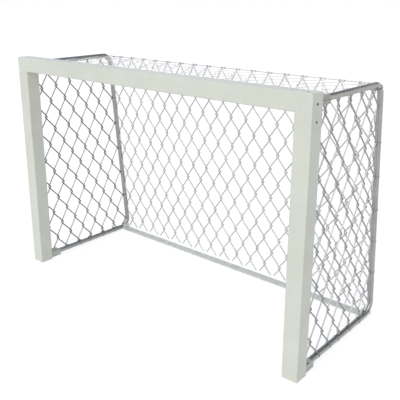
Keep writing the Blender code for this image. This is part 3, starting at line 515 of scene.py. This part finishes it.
def drawn_tube(name):
    """Bare steel tube: a fine spangle and faint clouds of zinc."""
    look = Look(name, 0.95)
    clouds = look.noise(14, 5, rough=0.6)
    spangle = look.noise(160, 3, stretched(2, 0.4))
    base = look.ramp(clouds, (0.33, 0.335, 0.31), (0.42, 0.425, 0.40))
    fine = look.ramp(spangle, (0.30, 0.305, 0.28), (0.45, 0.455, 0.43))
    look.colour(look.blend(0.35, base, fine))
    look.roughness(spangle, 0.28, 0.37)
    look.relief((spangle, 0.00005), (clouds, 0.0006))
    return look.material


def zinc_bar(name):
    """Flat rolled bar with a matt zinc coat and scratches along it."""
    look = Look(name, 0.30)
    clouds = look.noise(22, 5, rough=0.6)
    scratches = look.noise(700, 3, stretched(0, 0.02))
    base = look.ramp(clouds, (0.65, 0.67, 0.60), (0.77, 0.79, 0.71))
    marks = look.ramp(scratches, (0.56, 0.58, 0.52), (0.82, 0.84, 0.76))
    look.colour(look.blend(0.28, base, marks))
    look.roughness(clouds, 0.36, 0.50)
    look.relief((scratches, 0.00010), (clouds, 0.0005))
    return look.material


def coated_wire(name, tone, metallic=0.0, plane=None, painted_shade_factor=1.0):
    """Zinc coated wire, mottled, with brighter rubbed spots. Where a plane of x is given, the wire is
    painted darker on the plane's right side by that factor: painted shade on the wires that run one way."""
    look = Look(name, metallic)
    mottle = look.noise(110, 4, rough=0.6)
    clouds = look.noise(6, 3)
    base = look.ramp(clouds, times(tone, 0.82), times(tone, 1.14))
    spots = look.ramp(mottle, times(tone, 0.75), times(tone, 1.3))
    colour = look.blend(0.35, base, spots)
    # Painted shade: the wires on the plane's right side, which all run one way, are multiplied darker
    if plane is not None:
        layer = look.blend(look.past(plane), (1, 1, 1, 1), (painted_shade_factor, painted_shade_factor, painted_shade_factor, 1))
        colour = look.blend(1.0, colour, layer, "MULTIPLY")
    look.colour(colour)
    look.roughness(mottle, 0.55, 0.70)
    look.relief((mottle, 0.00025))
    return look.material


def dark_steel_and_painted_shade(name, tone):
    """Blackened steel, lighter in spots where tools have rubbed it. The ties' knots take it as painted
    shade.
    """
    look = Look(name, 0.8)
    grain = look.noise(600, 4)
    rubs = look.noise(90, 5, rough=0.65)
    look.colour(look.ramp(rubs, tone, times(tone, 1.7), 0.45, 0.70))
    look.roughness(grain, 0.30, 0.45)
    look.relief((grain, 0.00008))
    return look.material


def moulded_plastic(name):
    """Black plastic with a fine grain."""
    look = Look(name, 0.0)
    grain = look.noise(900, 3)
    clouds = look.noise(30, 3)
    look.colour(look.ramp(clouds, (0.010, 0.010, 0.011), (0.022, 0.022, 0.024)))
    look.roughness(grain, 0.50, 0.65)
    look.relief((grain, 0.00015))
    return look.material


UPRIGHT_FINISH = extrusion("anodised_upright", 2)
ACROSS_FINISH = extrusion("anodised_across", 0)
SOCKET_FINISH = cast("socket_casting", (0.52, 0.53, 0.48))
TOP_SOCKET_FINISH = cast("top_socket_casting", (0.42, 0.42, 0.385))
CONNECTOR_FINISH = cast("connector_casting", (0.45, 0.46, 0.46))
FERRULE_FINISH = cast("ferrule_alloy", (0.42, 0.43, 0.43))
TUBE_FINISH = drawn_tube("drawn_tube")
BAR_FINISH = zinc_bar("zinc_bar")
CABLE_FINISH = coated_wire("bright_strand", (0.58, 0.59, 0.57), 0.30)
SCREW_FINISH = dark_steel_and_painted_shade("black_screw", (0.035, 0.036, 0.038))
# The ties' knots: the same wire as their turns, painted dark as the shade round the knot
KNOT_PAINTED_SHADE_FINISH = dark_steel_and_painted_shade("tie_knot_painted_shade", (0.10, 0.105, 0.115))
LIGHT_TIE_FINISH = coated_wire("light_tie_wire", (0.44, 0.44, 0.42), 0.5)
PLUG_FINISH = moulded_plastic("plug_plastic")
# Painted light and shade: the four nets are the same wire, each in its own tone for how light falls on
# it. The top net is nearly white and the left net darkest, and the side nets are also painted darker on
# one side of their plane
NET_PAINTED_LIGHT_FINISH = {
    "back_net": coated_wire("zinc_wire_back_painted_shade", (0.64, 0.635, 0.60)),
    "top_net": coated_wire("zinc_wire_top", (0.92, 0.90, 0.84)),
    "left_side_net": coated_wire("zinc_wire_left_painted_shade", (0.58, 0.58, 0.545), 0.0, -HOOP_X, 0.36),
    "right_side_net": coated_wire("zinc_wire_right_painted_shade", (0.74, 0.74, 0.70), 0.0, HOOP_X, 0.60),
}


def finish_nodes():
    """Materials of the CAD nodes that stay."""
    nodes = frame["nodes"]

    def dress(name, material):
        obj = nodes[name]
        obj.data.materials.clear()
        obj.data.materials.append(material)

    for word in SIDES:
        dress(f"{word}_post", UPRIGHT_FINISH)
        dress(f"{word}_net_rail", UPRIGHT_FINISH)
        dress(f"{word}_ground_socket", SOCKET_FINISH)
        dress(f"{word}_top_socket", TOP_SOCKET_FINISH)
        dress(f"{word}_corner_connector", CONNECTOR_FINISH)
        dress(f"{word}_foot_plug", PLUG_FINISH)
        dress(f"{word}_bar_bolt", BAR_FINISH)
        dress(f"{word}_bar_nut", BAR_FINISH)
    dress("crossbar", ACROSS_FINISH)
    dress("top_net_rail", ACROSS_FINISH)
    dress("rear_ground_bar", BAR_FINISH)


# The hoops and the rope


def tube_wall(line, radius):
    """Rings of a tube along a line that keeps to one x."""
    return [
        ring(point, radius, TO_THE_RIGHT, heading(line, i).cross(TO_THE_RIGHT), TUBE_SIDES)
        for i, point in enumerate(line)
    ]


def make_hoop(word, side):
    """The bent tube, hollow to both of its front ends."""
    shape = Shape()
    line = [at_hoop(side, p) for p in HOOP_LINE]
    outer = tube_wall(line, TUBE_SKIN)
    inner = tube_wall(line, TUBE_RADIUS - TUBE_WALL)
    shape.loft(outer + inner[::-1], closed=True)
    shape.piece(f"{word}_bent_tube", f"{word}_net_hoop", TUBE_FINISH)


def cable_route():
    """The rope's centre line, from one tail to the other."""
    tail_height = CABLE_LAP - 2 * CABLE_RADIUS - CLEAR
    mouth = -FERRULE_FROM_TUBE + FERRULE_LENGTH / 2
    tail = mouth - FERRULE_LENGTH - CABLE_TAIL
    eye = arc(Vector((0, 0)), CABLE_LAP, EYE_START, EYE_END, EYE_STEPS)
    for to_tube, outward in TAIL_BEND:
        eye.append(Vector((mouth + to_tube, tail_height + outward)))
    eye.append(Vector((tail, tail_height)))

    def place(side, p):
        y, z = CROSSING + OUTWARD * p.y
        return Vector((side * (HOOP_X + p.x), y, z))

    left = [place(-1, p) for p in reversed(eye)]
    right = [place(1, p) for p in eye]
    span = [left[-1].lerp(right[0], k / SPAN_STEPS) for k in range(1, SPAN_STEPS)]
    return left + span + right


def even_steps(path, step):
    """The path's points again at an even step along it."""
    out = [path[0].copy()]
    rest = step
    for start, end in zip(path, path[1:]):
        length = (end - start).length
        at = rest
        while at <= length:
            out.append(start.lerp(end, at / length))
            at += step
        rest = at - length
    if (out[-1] - path[-1]).length > step / 4:
        out.append(path[-1].copy())
    return out


def make_cable():
    """The rope, taut between the hoops: six strands round a seventh, crimped into an eye at each end."""
    shape = Shape()
    line = cable_route()
    route = even_steps(line, STRAND_LAY / STEPS_IN_A_LAY)
    shape.sweep(route, STRAND_RADIUS, STRAND_SIDES)
    frames = carried_frames(route)
    reach = CABLE_RADIUS - STRAND_RADIUS
    for strand in range(STRANDS):
        path = []
        for i, (point, a, b) in enumerate(frames):
            turn = 2 * math.pi * (i / STEPS_IN_A_LAY + strand / STRANDS)
            path.append(point + reach * (math.cos(turn) * a + math.sin(turn) * b))
        shape.sweep(path, STRAND_RADIUS, STRAND_SIDES)
    rope = shape.piece("rear_top_rope", "rear_top_cable", CABLE_FINISH)
    sleeves = [make_ferrule(word, side) for word, side in SIDES.items()]
    tuple(line[0])
    length_of(line)
    [tuple(p) for p in route]


def make_ferrule(word, side):
    """A pressed sleeve round the rope and its tail, with crimp grooves."""
    shape = Shape()
    pitch = CABLE_RADIUS + CLEAR / 2
    y, z = CROSSING + OUTWARD * (CABLE_LAP - pitch)
    tilt = Matrix.Rotation(math.atan2(OUTWARD.y, OUTWARD.x), 4, "X")
    place = Matrix.Translation((side * (HOOP_X - FERRULE_FROM_TUBE), y, z)) @ tilt
    middle = Vector((0, 0))
    rings = []
    for k in range(FERRULE_STEPS + 1):
        x = FERRULE_LENGTH * (k / FERRULE_STEPS - 0.5)
        groove = CRIMP_DEPTH * (0.5 - 0.5 * math.cos(2 * CRIMPS * math.pi * k / FERRULE_STEPS))
        edge = FERRULE_EDGE if k in (0, FERRULE_STEPS) else 0
        wall = CABLE_RADIUS + FERRULE_WALL - groove - edge
        upper = arc(middle, wall, 0, math.pi, FERRULE_ARC_STEPS)
        lower = arc(middle, wall, math.pi, 2 * math.pi, FERRULE_ARC_STEPS)
        outline = [p + Vector((0, pitch)) for p in upper] + [p - Vector((0, pitch)) for p in lower]
        rings.append([place @ Vector((x, p.y, p.x)) for p in outline])
    shape.loft(rings)
    return shape.piece(
        f"{word}_crimped_sleeve", f"{word}_cable_ferrule", FERRULE_FINISH
    )


# The nets


class Panel:
    """A flat net: u across it, v up it, n out of it. One wire winds down between two columns."""

    def __init__(self, origin, right, up):
        self.origin = Vector(origin)
        self.right = Vector(right)
        self.up = Vector(up)
        self.out = self.right.cross(self.up)

    def place(self, p):
        return self.origin + self.right * p.x + self.up * p.y + self.out * p.z


def winding(column):
    """One turn of the wire that winds between a column and the next one, as points (u, v, n): from
    its right end round the back to its left end, and along the front to the right end again. It
    reaches past both columns, because it hangs loosely in its neighbours."""
    left = column * HALF_MESH - TURN_REACH + TURN_RADIUS
    right = (column + 1) * HALF_MESH + TURN_REACH - TURN_RADIUS
    turns = [math.pi / 2 * k / TURN_STEPS for k in range(TURN_STEPS + 1)]
    flat = []
    for centre, way, stretch in (
        (right, 1, [-t for t in turns]),
        (left, -1, [-t for t in turns[::-1]] + turns[1:]),
        (right, 1, turns[:0:-1]),
    ):
        for t in stretch:
            flat.append((centre + way * TURN_RADIUS * math.cos(t), TURN_RADIUS * math.sin(t)))
    lengths = [0.0]
    for a, b in zip(flat, flat[1:] + flat[:1]):
        lengths.append(lengths[-1] + math.dist(a, b))
    return [Vector((u, -MESH_HEIGHT * done / lengths[-1], n)) for (u, n), done in zip(flat, lengths)]


def coil(column, high, low):
    """Points (u, v, n) of a wire from v high down to v low. Its right ends are at the nodes of the
    next column, where the sum of column and row is even."""
    turn = winding(column)
    middle = 0.0 if column % 2 else MESH_HEIGHT / 2
    first = math.ceil((high - middle) / MESH_HEIGHT)
    last = math.floor((low - middle) / MESH_HEIGHT)
    points = []
    for k in range(first, last - 1, -1):
        points += [p + Vector((0, middle + k * MESH_HEIGHT, 0)) for p in turn]
    return points


def runs(points, inside):
    """The stretches of a wire that lie inside, cut where it crosses the edge."""
    found = []
    current = []

    def edge(a, b):
        for _ in range(CUT_HALVINGS):
            middle = (a + b) / 2
            if inside(middle) == inside(a):
                a = middle
            else:
                b = middle
        return (a + b) / 2

    before = None
    for point in points:
        now = inside(point)
        if before is not None and now != inside(before):
            current.append(edge(before, point))
            if not now:
                found.append(current)
                current = []
        if now:
            current.append(point)
        before = point
    if len(current) > 1:
        found.append(current)
    return [run for run in found if length_of(run) > SHORTEST_WIRE]


def soften(path, first, last):
    """Rounds the corners of a stretch of a path."""
    for _ in range(SOFTENINGS):
        fresh = [p.copy() for p in path]
        for i in range(max(1, first), min(len(path) - 1, last)):
            fresh[i] = (path[i - 1] + 2 * path[i] + path[i + 1]) / 4
        path = fresh
    return path


def tube_hook(end, side, toward):
    """Bends a wire's end on round the hoop a little: points from the wire's end on."""
    _, place, along = nearest_on_hoop(Vector((end.y, end.z)))
    centre = at_hoop(side, place)
    axis = Vector((0, along.x, along.y))
    radial = end - centre
    radial -= radial.dot(axis) * axis
    start = radial.length
    radial.normalize()
    around = axis.cross(radial)
    if around.x * toward < 0:
        around = -around
    on_ground = place.y < GROUND_ARM_HEIGHT + ABOVE_GROUND_ARM
    bend = GROUND_HOOK_TURN if on_ground else HOOK_TURN
    points = []
    for k in range(1, HOOK_STEPS + 1):
        t = bend * k / HOOK_STEPS
        reach = LAP + (start - LAP) * max(0, 1 - t / HOOK_CLOSES_WITHIN) ** 2
        points.append(centre + reach * (math.cos(t) * radial + math.sin(t) * around))
    return points


def cable_hook(end, toward):
    """Bends a wire's end over the cable: up on the side that it comes from and down on the other."""
    to_cable = Vector((0, CABLE.x - end.y, CABLE.y - end.z))
    reach = to_cable.length
    up = to_cable / reach
    out = TO_THE_RIGHT.cross(up)
    lap = CABLE_RADIUS + SLIM * WIRE_RADIUS + CLEAR
    points = []
    for rise, aside in CABLE_HOOK_LEAN:
        points.append(end + rise * reach * up + aside * lap * toward * out)
    for k in range(CABLE_HOOK_STEPS + 1):
        t = math.pi * k / CABLE_HOOK_STEPS
        points.append(end + reach * up + lap * (math.cos(t) * toward * out + math.sin(t) * up))
    points.append(end + (reach - CABLE_HOOK_END) * up - lap * toward * out)
    return points


def curl(end, panel, toward):
    """A small knuckle at a rail."""
    points = []
    for k in range(1, HOOK_STEPS + 1):
        t = CURL_TURN * k / HOOK_STEPS
        outward = panel.out * toward * CURL_RADIUS * (1 - math.cos(t))
        points.append(end + (outward + panel.up * CURL_RADIUS * CURL_FLATNESS * math.sin(t)))
    return points


def wave(p, calm):
    """Slight play of the net in its plane."""
    shift = noise.noise_vector(Vector((p.x, p.y, WAVE_SLICE)) * WAVE_SCALE)
    return Vector((WAVE * shift.x * calm(p), WAVE * shift.y, 0))


def add_wire(shape, panel, run, ends, calm, radius=WIRE_RADIUS, slim_head=False):
    """Places one wire; ends gives the points that go on from its first and its last point."""
    path = [panel.place(p + wave(p, calm)) for p in run]
    head, tail = (make(point) if make else [] for make, point in zip(ends, (path[0], path[-1])))
    whole = head[::-1] + path + tail
    whole = soften(whole, len(head) - 2, len(head) + 3)
    whole = soften(whole, len(head) + len(path) - 3, len(head) + len(path) + 2)
    shape.sweep(whole, radius, slim=len(head) if slim_head else 0)


def make_side_net(word, side):
    """The netting inside one hoop, bent round the tube and curled at the rail."""
    shape = Shape()
    origin = (side * HOOP_X, FRONT + SIDE_MESH_DEPTH, SIDE_MESH_HEIGHT)
    panel = Panel(origin, (0, LEG_UP.y, -LEG_UP.x), (0, LEG_UP.x, LEG_UP.y))
    to_leg = (leg_depth(SIDE_MESH_HEIGHT) - FRONT - SIDE_MESH_DEPTH) * LEG_UP.y
    columns = math.floor((to_leg - TUBE_RADIUS) / HALF_MESH)

    def inside(p):
        place = panel.place(Vector((p.x, p.y, 0)))
        if place.y < RAIL_REAR + WIRE_RADIUS:
            return False
        if place.y < SOCKET_REAR + NET_FROM_SOCKET:
            return GROUND_SOCKET[1].z + NET_FROM_SOCKET < place.z < SOCKET[0].z - NET_UNDER_SOCKET
        if place.z > TOP_ARM_HEIGHT or place.z < GROUND_ARM_HEIGHT:
            return False
        return nearest_on_hoop(Vector((place.y, place.z)))[0] > LAP

    def calm(p):
        return limited((to_leg - p.x - CALM_BY_LEG) / CALM_FADE)

    def ending(before):
        """What an end does whose next point is this one."""
        toward = 1 if before.z > 0 else -1

        def make(end):
            if end.y < RAIL_REAR + AT_RAIL:
                return curl(end, panel, toward)
            if end.y < SOCKET_REAR + AT_SOCKET:
                return []
            return tube_hook(end, side, toward)

        return make

    for column in range(SIDE_FIRST_COLUMN, columns):
        for run in runs(coil(column, SIDE_WIRES_ABOVE, SIDE_WIRES_BELOW), inside):
            add_wire(shape, panel, run, (ending(run[1]), ending(run[-2])), calm)
    node = f"{word}_side_net"
    shape.piece(f"{word}_side_netting", node, NET_PAINTED_LIGHT_FINISH[node])


def hold(points, least, most):
    """Keeps a wire between two limits of u; where it would pass one, it runs straight along it."""
    held = [points[0]]
    for start, end in zip(points, points[1:]):
        for limit in (least, most):
            if (start.x - limit) * (end.x - limit) < 0:
                held.append(start.lerp(end, (limit - start.x) / (end.x - start.x)))
        held.append(end)
    return [Vector((max(least, min(most, p.x)), p.y, p.z)) for p in held]


def hung_net(aside, inside, low, top, top_by_sleeve, tail):
    """The wires of a net between the hoops, from the cable down or forward: each as (points, ends)."""
    first = math.floor((-HOOP_INSIDE - aside) / HALF_MESH)
    last = math.floor((HOOP_INSIDE - aside) / HALF_MESH)
    # Only the rope between its two tails has room for hooks
    free_cable = HOOP_X - FERRULE_FROM_TUBE - FERRULE_LENGTH / 2 - CABLE_TAIL - CABLE_END_FROM_HOOKS
    rounding = 1e-6
    wires = []

    def at_cable(p):
        return abs(aside + p.x) < free_cable

    def within(p):
        high = top if at_cable(p) else top_by_sleeve
        return low < p.y < high + rounding and inside(p)

    for column in range(first, last + 1):
        points = coil(column, top + MESH_HEIGHT, low - MESH_HEIGHT)
        points = hold(points, -HOOP_INSIDE - aside, HOOP_INSIDE - aside)
        for run in runs(points, within):
            toward = 1 if run[0].z > 0 else -1
            head = None
            if at_cable(run[0]) and run[0].y > top - AT_CUT:
                head = lambda end, t=toward: cable_hook(end, t)
            wires.append((run, (head, tail(run))))
    return wires


def calm_by_hoops(aside):
    """How much of the sideways wave a point has: all in the middle, none near the hoops."""
    return lambda p: limited((HOOP_INSIDE - CALM_BY_HOOP - abs(aside + p.x)) / CALM_FADE)


def make_back_net():
    """The netting between the rear legs, which hangs on the rope."""
    shape = Shape()
    up = (CABLE - BASE_CORNER).normalized()
    start = CABLE - BACK_MESH_BELOW_CABLE * up
    panel = Panel((BACK_MESH_ASIDE, start.x, start.y), TO_THE_RIGHT, (0, up.x, up.y))
    bottom = (BACK_NET_LIFT - start.y) / up.y
    top = -BACK_WIRES_FROM_NODE
    half_row = MESH_HEIGHT / 2
    calm = calm_by_hoops(BACK_MESH_ASIDE)

    def anywhere(p):
        return True

    def no_tail(run):
        return None

    def stretch(p):
        """Pulls the uppermost half row up to the rope."""
        share = max(0.0, (p.y + half_row) / (top + half_row))
        return Vector((p.x, p.y + BACK_WIRES_STRETCH * share, p.z))

    for run, ends in hung_net(BACK_MESH_ASIDE, anywhere, bottom, top, top - BACK_WIRES_SHORT, no_tail):
        add_wire(shape, panel, [stretch(p) for p in run], ends, calm, slim_head=True)
    shape.piece("back_netting", "back_net", NET_PAINTED_LIGHT_FINISH["back_net"])


def make_top_net():
    """The netting between the top arms, from the crossbar's rail to the rope."""
    shape = Shape()
    panel = Panel((TOP_MESH_ASIDE, FRONT + TOP_MESH_DEPTH, CABLE.y), TO_THE_RIGHT, (0, 1, 0))
    front = RAIL_REAR + WIRE_RADIUS - panel.origin.y
    behind_socket = SOCKET_REAR + TOP_NET_BEHIND_SOCKET - panel.origin.y
    narrow = SOCKET[0].x - NET_FROM_SOCKET
    top = CABLE.x - TOP_WIRES_FROM_CABLE - panel.origin.y
    calm = calm_by_hoops(TOP_MESH_ASIDE)

    def inside(p):
        return p.y > behind_socket or abs(TOP_MESH_ASIDE + p.x) < narrow

    def tail(run):
        if run[-1].y > front + TOP_NET_AT_RAIL:
            return None
        layer = 1 if run[-2].z > 0 else -1
        return lambda end: curl(end, panel, layer)

    for run, ends in hung_net(TOP_MESH_ASIDE, inside, front, top, top - TOP_WIRES_SHORT, tail):
        add_wire(shape, panel, run, ends, calm, TOP_WIRE_RADIUS)
    shape.piece("top_netting", "top_net", NET_PAINTED_LIGHT_FINISH["top_net"])


# Screws and ties


def cap_head(shape, place, radius, flats):
    """A cap head with a rounded rim and a hexagonal recess, its face at local z 0."""
    depth = SCREW_HEAD_DEPTH
    edge = radius * HEAD_ROUNDING
    rounding = arc(Vector((radius - edge, -edge)), edge, 0, math.pi / 2, HEAD_ROUNDING_STEPS)
    profile = [(radius * HEAD_FOOT, -depth), (radius, -depth + HEAD_BEVEL)]
    profile += [(p.x, p.y) for p in rounding]

    def hexagon(height, width=1.0):
        points = []
        for t in angles(HEAD_SIDES):
            from_flat = (t + math.pi / 6) % (math.pi / 3) - math.pi / 6
            r = flats / 2 / math.cos(from_flat) * width
            points.append(place @ Vector((r * math.cos(t), r * math.sin(t), height)))
        return points

    rings = [turned_ring(place, r, z, HEAD_SIDES) for r, z in profile]
    rings.append(hexagon(0.0, RECESS_MOUTH_WIDTH))
    rings.append(hexagon(-HEAD_BEVEL))
    rings.append(hexagon(-depth * RECESS_WALL_DEPTH))
    rings.append(hexagon(-depth * RECESS_TIP_DEPTH, RECESS_TIP_WIDTH))
    shape.loft(rings)


def make_screw(node, direction, flats):
    """The head and shank of a screw that faces one way, in its node's place."""
    low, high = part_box(node)
    direction = Vector(direction)
    axis = [abs(d) for d in direction].index(1.0)
    across = (axis + 1) % 3
    radius = (high[across] - low[across]) / 2
    face = (low + high) / 2
    face[axis] = high[axis] if direction[axis] > 0 else low[axis]
    length = high[axis] - low[axis]
    place = Matrix.Translation(face) @ WORLD_UP.rotation_difference(direction).to_matrix().to_4x4()
    shape = Shape()
    cap_head(shape, place, radius, flats)
    shank = radius * SHANK_SHARE
    thread = [(shank, -SCREW_HEAD_DEPTH + SHANK_INTO_HEAD)]
    # Each turn has its crest at a quarter of the pitch and its root at three quarters
    for k in range(int((length - SCREW_HEAD_DEPTH - PLAIN_TIP) / THREAD_PITCH)):
        z = -SCREW_HEAD_DEPTH - THREAD_PITCH * k
        thread.append((shank, z - THREAD_PITCH * 0.25))
        thread.append((shank - THREAD_DEPTH, z - THREAD_PITCH * 0.75))
    thread.append((shank - TIP_BEVEL, -length))
    shape.lathe(thread, place, SHANK_SIDES)
    name = node.replace("_screw", "_cap_screw")
    shape.piece(name, node, SCREW_FINISH, SCREW_SMOOTH_ANGLE)


def make_tie(node, side):
    """Two turns of wire round the tube, open at its outer side, and a twisted knot at its inner side,
    painted dark as the shade round it. The inner side is on top of the ground arm and at the front of the
    leg."""
    low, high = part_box(node)
    middle = (low + high) / 2
    _, place, along = nearest_on_hoop(Vector((middle.y, middle.z)))
    centre = at_hoop(side, place)
    axis = Vector((0, along.x, along.y))
    on_arm = "_arm_" in node
    inward = WORLD_UP if on_arm else Vector((0, -1, 0))
    inward = (inward - inward.dot(axis) * axis).normalized()
    shape = Shape()
    reach = TUBE_RADIUS + TIE_RADIUS + CLEAR
    first = -math.pi + TIE_HALF_OPENING
    for turn in (-1, 1):
        shift = axis * turn * TIE_RADIUS * TIE_TURN_ASIDE
        points = []
        for k in range(TIE_STEPS + 1):
            t = first + (2 * math.pi - 2 * TIE_HALF_OPENING) * k / TIE_STEPS
            points.append(centre + shift + reach * (math.cos(t) * inward + math.sin(t) * TO_THE_RIGHT))
        shape.sweep(points, TIE_RADIUS)
    light_faces = len(shape.faces)
    strand = ARM_KNOT_RADIUS if on_arm else LEG_KNOT_RADIUS
    knot = centre + inward * (TUBE_RADIUS + 2 * strand + CLEAR)
    for first_turn in (0, math.pi):
        points = []
        for k in range(KNOT_POINTS):
            t = k * KNOT_TWIST + first_turn
            shift = axis * KNOT_STEP * (k - KNOT_POINTS // 2)
            points.append(knot + shift + strand * (math.cos(t) * TO_THE_RIGHT + math.sin(t) * inward))
        shape.sweep(points, strand, KNOT_SIDES)
    tie = shape.piece(node.replace("_clip", "_tie"), node, LIGHT_TIE_FINISH)
    # The knot's faces get the dark finish, which is painted shade
    tie.data.materials.append(KNOT_PAINTED_SHADE_FINISH)
    marks = [0 if k < light_faces else 1 for k in range(len(tie.data.polygons))]
    tie.data.polygons.foreach_set("material_index", marks)


# Camera, light and floor


def make_camera():
    data = bpy.data.cameras.new("camera")
    data.sensor_width = 36
    data.lens = 54.92
    data.shift_x = 0.012
    data.shift_y = -0.054
    camera = bpy.data.objects.new("camera", data)
    camera.location = (2.1564, -2.41107, 1.663)
    camera.rotation_euler = (math.radians(72.64), 0, math.radians(41.24))
    bpy.context.scene.collection.objects.link(camera)
    bpy.context.scene.camera = camera


def seen_directly(nodes, links):
    """1 for camera, glossy and transmission rays."""
    path = nodes.new("ShaderNodeLightPath")
    value = path.outputs["Is Camera Ray"]
    for other in ("Is Glossy Ray", "Is Transmission Ray"):
        most = nodes.new("ShaderNodeMath")
        most.operation = "MAXIMUM"
        links.new(value, most.inputs[0])
        links.new(path.outputs[other], most.inputs[1])
        value = most.outputs["Value"]
    return value


def make_world():
    """A white studio with a pale ceiling, and between them a dark band that the metal reflects."""
    dark = (0.07, 0.095, 0.15, 1)
    world = bpy.data.worlds.new("studio")
    bpy.context.scene.world = world
    world.use_nodes = True
    nodes = world.node_tree.nodes
    links = world.node_tree.links
    nodes.clear()
    place = nodes.new("ShaderNodeTexCoord")
    split = nodes.new("ShaderNodeSeparateXYZ")
    links.new(place.outputs["Generated"], split.inputs["Vector"])
    ramp = nodes.new("ShaderNodeValToRGB")
    # A stop's place is the sine of the angle over the horizon
    stops = ramp.color_ramp.elements
    stops[0].position = 0.34
    stops[0].color = (1, 1, 1, 1)
    stops[1].position = 0.42
    stops[1].color = dark
    stops.new(0.72).color = dark
    stops.new(0.84).color = (0.90, 0.91, 1.0, 1)
    links.new(split.outputs["Z"], ramp.inputs["Fac"])
    shown = nodes.new("ShaderNodeBackground")
    shown.inputs["Strength"].default_value = 1.0
    links.new(ramp.outputs["Color"], shown.inputs["Color"])
    light = nodes.new("ShaderNodeBackground")
    light.inputs["Color"].default_value = (1.0, 1.0, 1.0, 1)
    light.inputs["Strength"].default_value = 0.55
    mix = nodes.new("ShaderNodeMixShader")
    links.new(seen_directly(nodes, links), mix.inputs["Fac"])
    links.new(light.outputs["Background"], mix.inputs[1])
    links.new(shown.outputs["Background"], mix.inputs[2])
    output = nodes.new("ShaderNodeOutputWorld")
    links.new(mix.outputs["Shader"], output.inputs["Surface"])


def make_lamp(name, direction, level, colour):
    """A wide sun whose light on a face that it meets square is the level."""
    data = bpy.data.lights.new(name, "SUN")
    data.energy = level * math.pi
    data.color = colour
    data.angle = math.radians(60)
    lamp = bpy.data.objects.new(name, data)
    lamp.rotation_euler = WORLD_UP.rotation_difference(Vector(direction).normalized()).to_euler()
    bpy.context.scene.collection.objects.link(lamp)


def make_floor():
    """A pale floor that looks white, and keeps the object's shadow."""
    reach = 40.0
    corners = [(-reach, -reach, 0), (reach, -reach, 0), (reach, reach, 0), (-reach, reach, 0)]
    mesh = bpy.data.meshes.new("floor")
    mesh.from_pydata(corners, [], [(0, 1, 2, 3)])
    floor = bpy.data.objects.new("floor", mesh)
    bpy.context.scene.collection.objects.link(floor)
    material = bpy.data.materials.new("floor")
    material.use_nodes = True
    nodes = material.node_tree.nodes
    links = material.node_tree.links
    nodes.clear()
    plain = nodes.new("ShaderNodeBsdfDiffuse")
    plain.inputs["Color"].default_value = (0.58, 0.58, 0.58, 1)
    dim = nodes.new("ShaderNodeBsdfDiffuse")
    dim.inputs["Color"].default_value = (0.30, 0.30, 0.30, 1)
    glow = nodes.new("ShaderNodeEmission")
    glow.inputs["Strength"].default_value = 0.76
    both = nodes.new("ShaderNodeAddShader")
    links.new(dim.outputs["BSDF"], both.inputs[0])
    links.new(glow.outputs["Emission"], both.inputs[1])
    mix = nodes.new("ShaderNodeMixShader")
    links.new(seen_directly(nodes, links), mix.inputs["Fac"])
    links.new(plain.outputs["BSDF"], mix.inputs[1])
    links.new(both.outputs["Shader"], mix.inputs[2])
    output = nodes.new("ShaderNodeOutputMaterial")
    links.new(mix.outputs["Shader"], output.inputs["Surface"])
    mesh.materials.append(material)


make_camera()
make_world()
make_lamp("key", (0.13, -0.66, 0.56), 0.54, (1.0, 1.0, 0.98))
make_lamp("overhead", (0, 0, 1), 0.22, (0.30, 0.40, 1.0))
make_floor()
bpy.context.scene.view_settings.view_transform = "Standard"

# Without a seed the clock sets the noise, and the waves differ in each run
noise.seed_set(WAVE_SEED)
finish_nodes()
make_cable()
make_back_net()
make_top_net()
for word, side in SIDES.items():
    make_hoop(word, side)
    make_side_net(word, side)
    for number in (1, 2):
        make_screw(f"{word}_corner_screw_side_{number}", (side, 0, 0), CORNER_SCREW_FLATS)
        make_screw(f"{word}_corner_screw_top_{number}", (0, 0, 1), CORNER_SCREW_FLATS)
    make_screw(f"{word}_ground_clamp_screw", (0, 0, 1), CLAMP_SCREW_FLATS)
    make_screw(f"{word}_top_clamp_screw", (0, 0, -1), CLAMP_SCREW_FLATS)
    for part in ("arm", "leg"):
        for number in range(1, TIES_IN_A_ROW + 1):
            make_tie(f"{word}_net_clip_{part}_{number}", side)
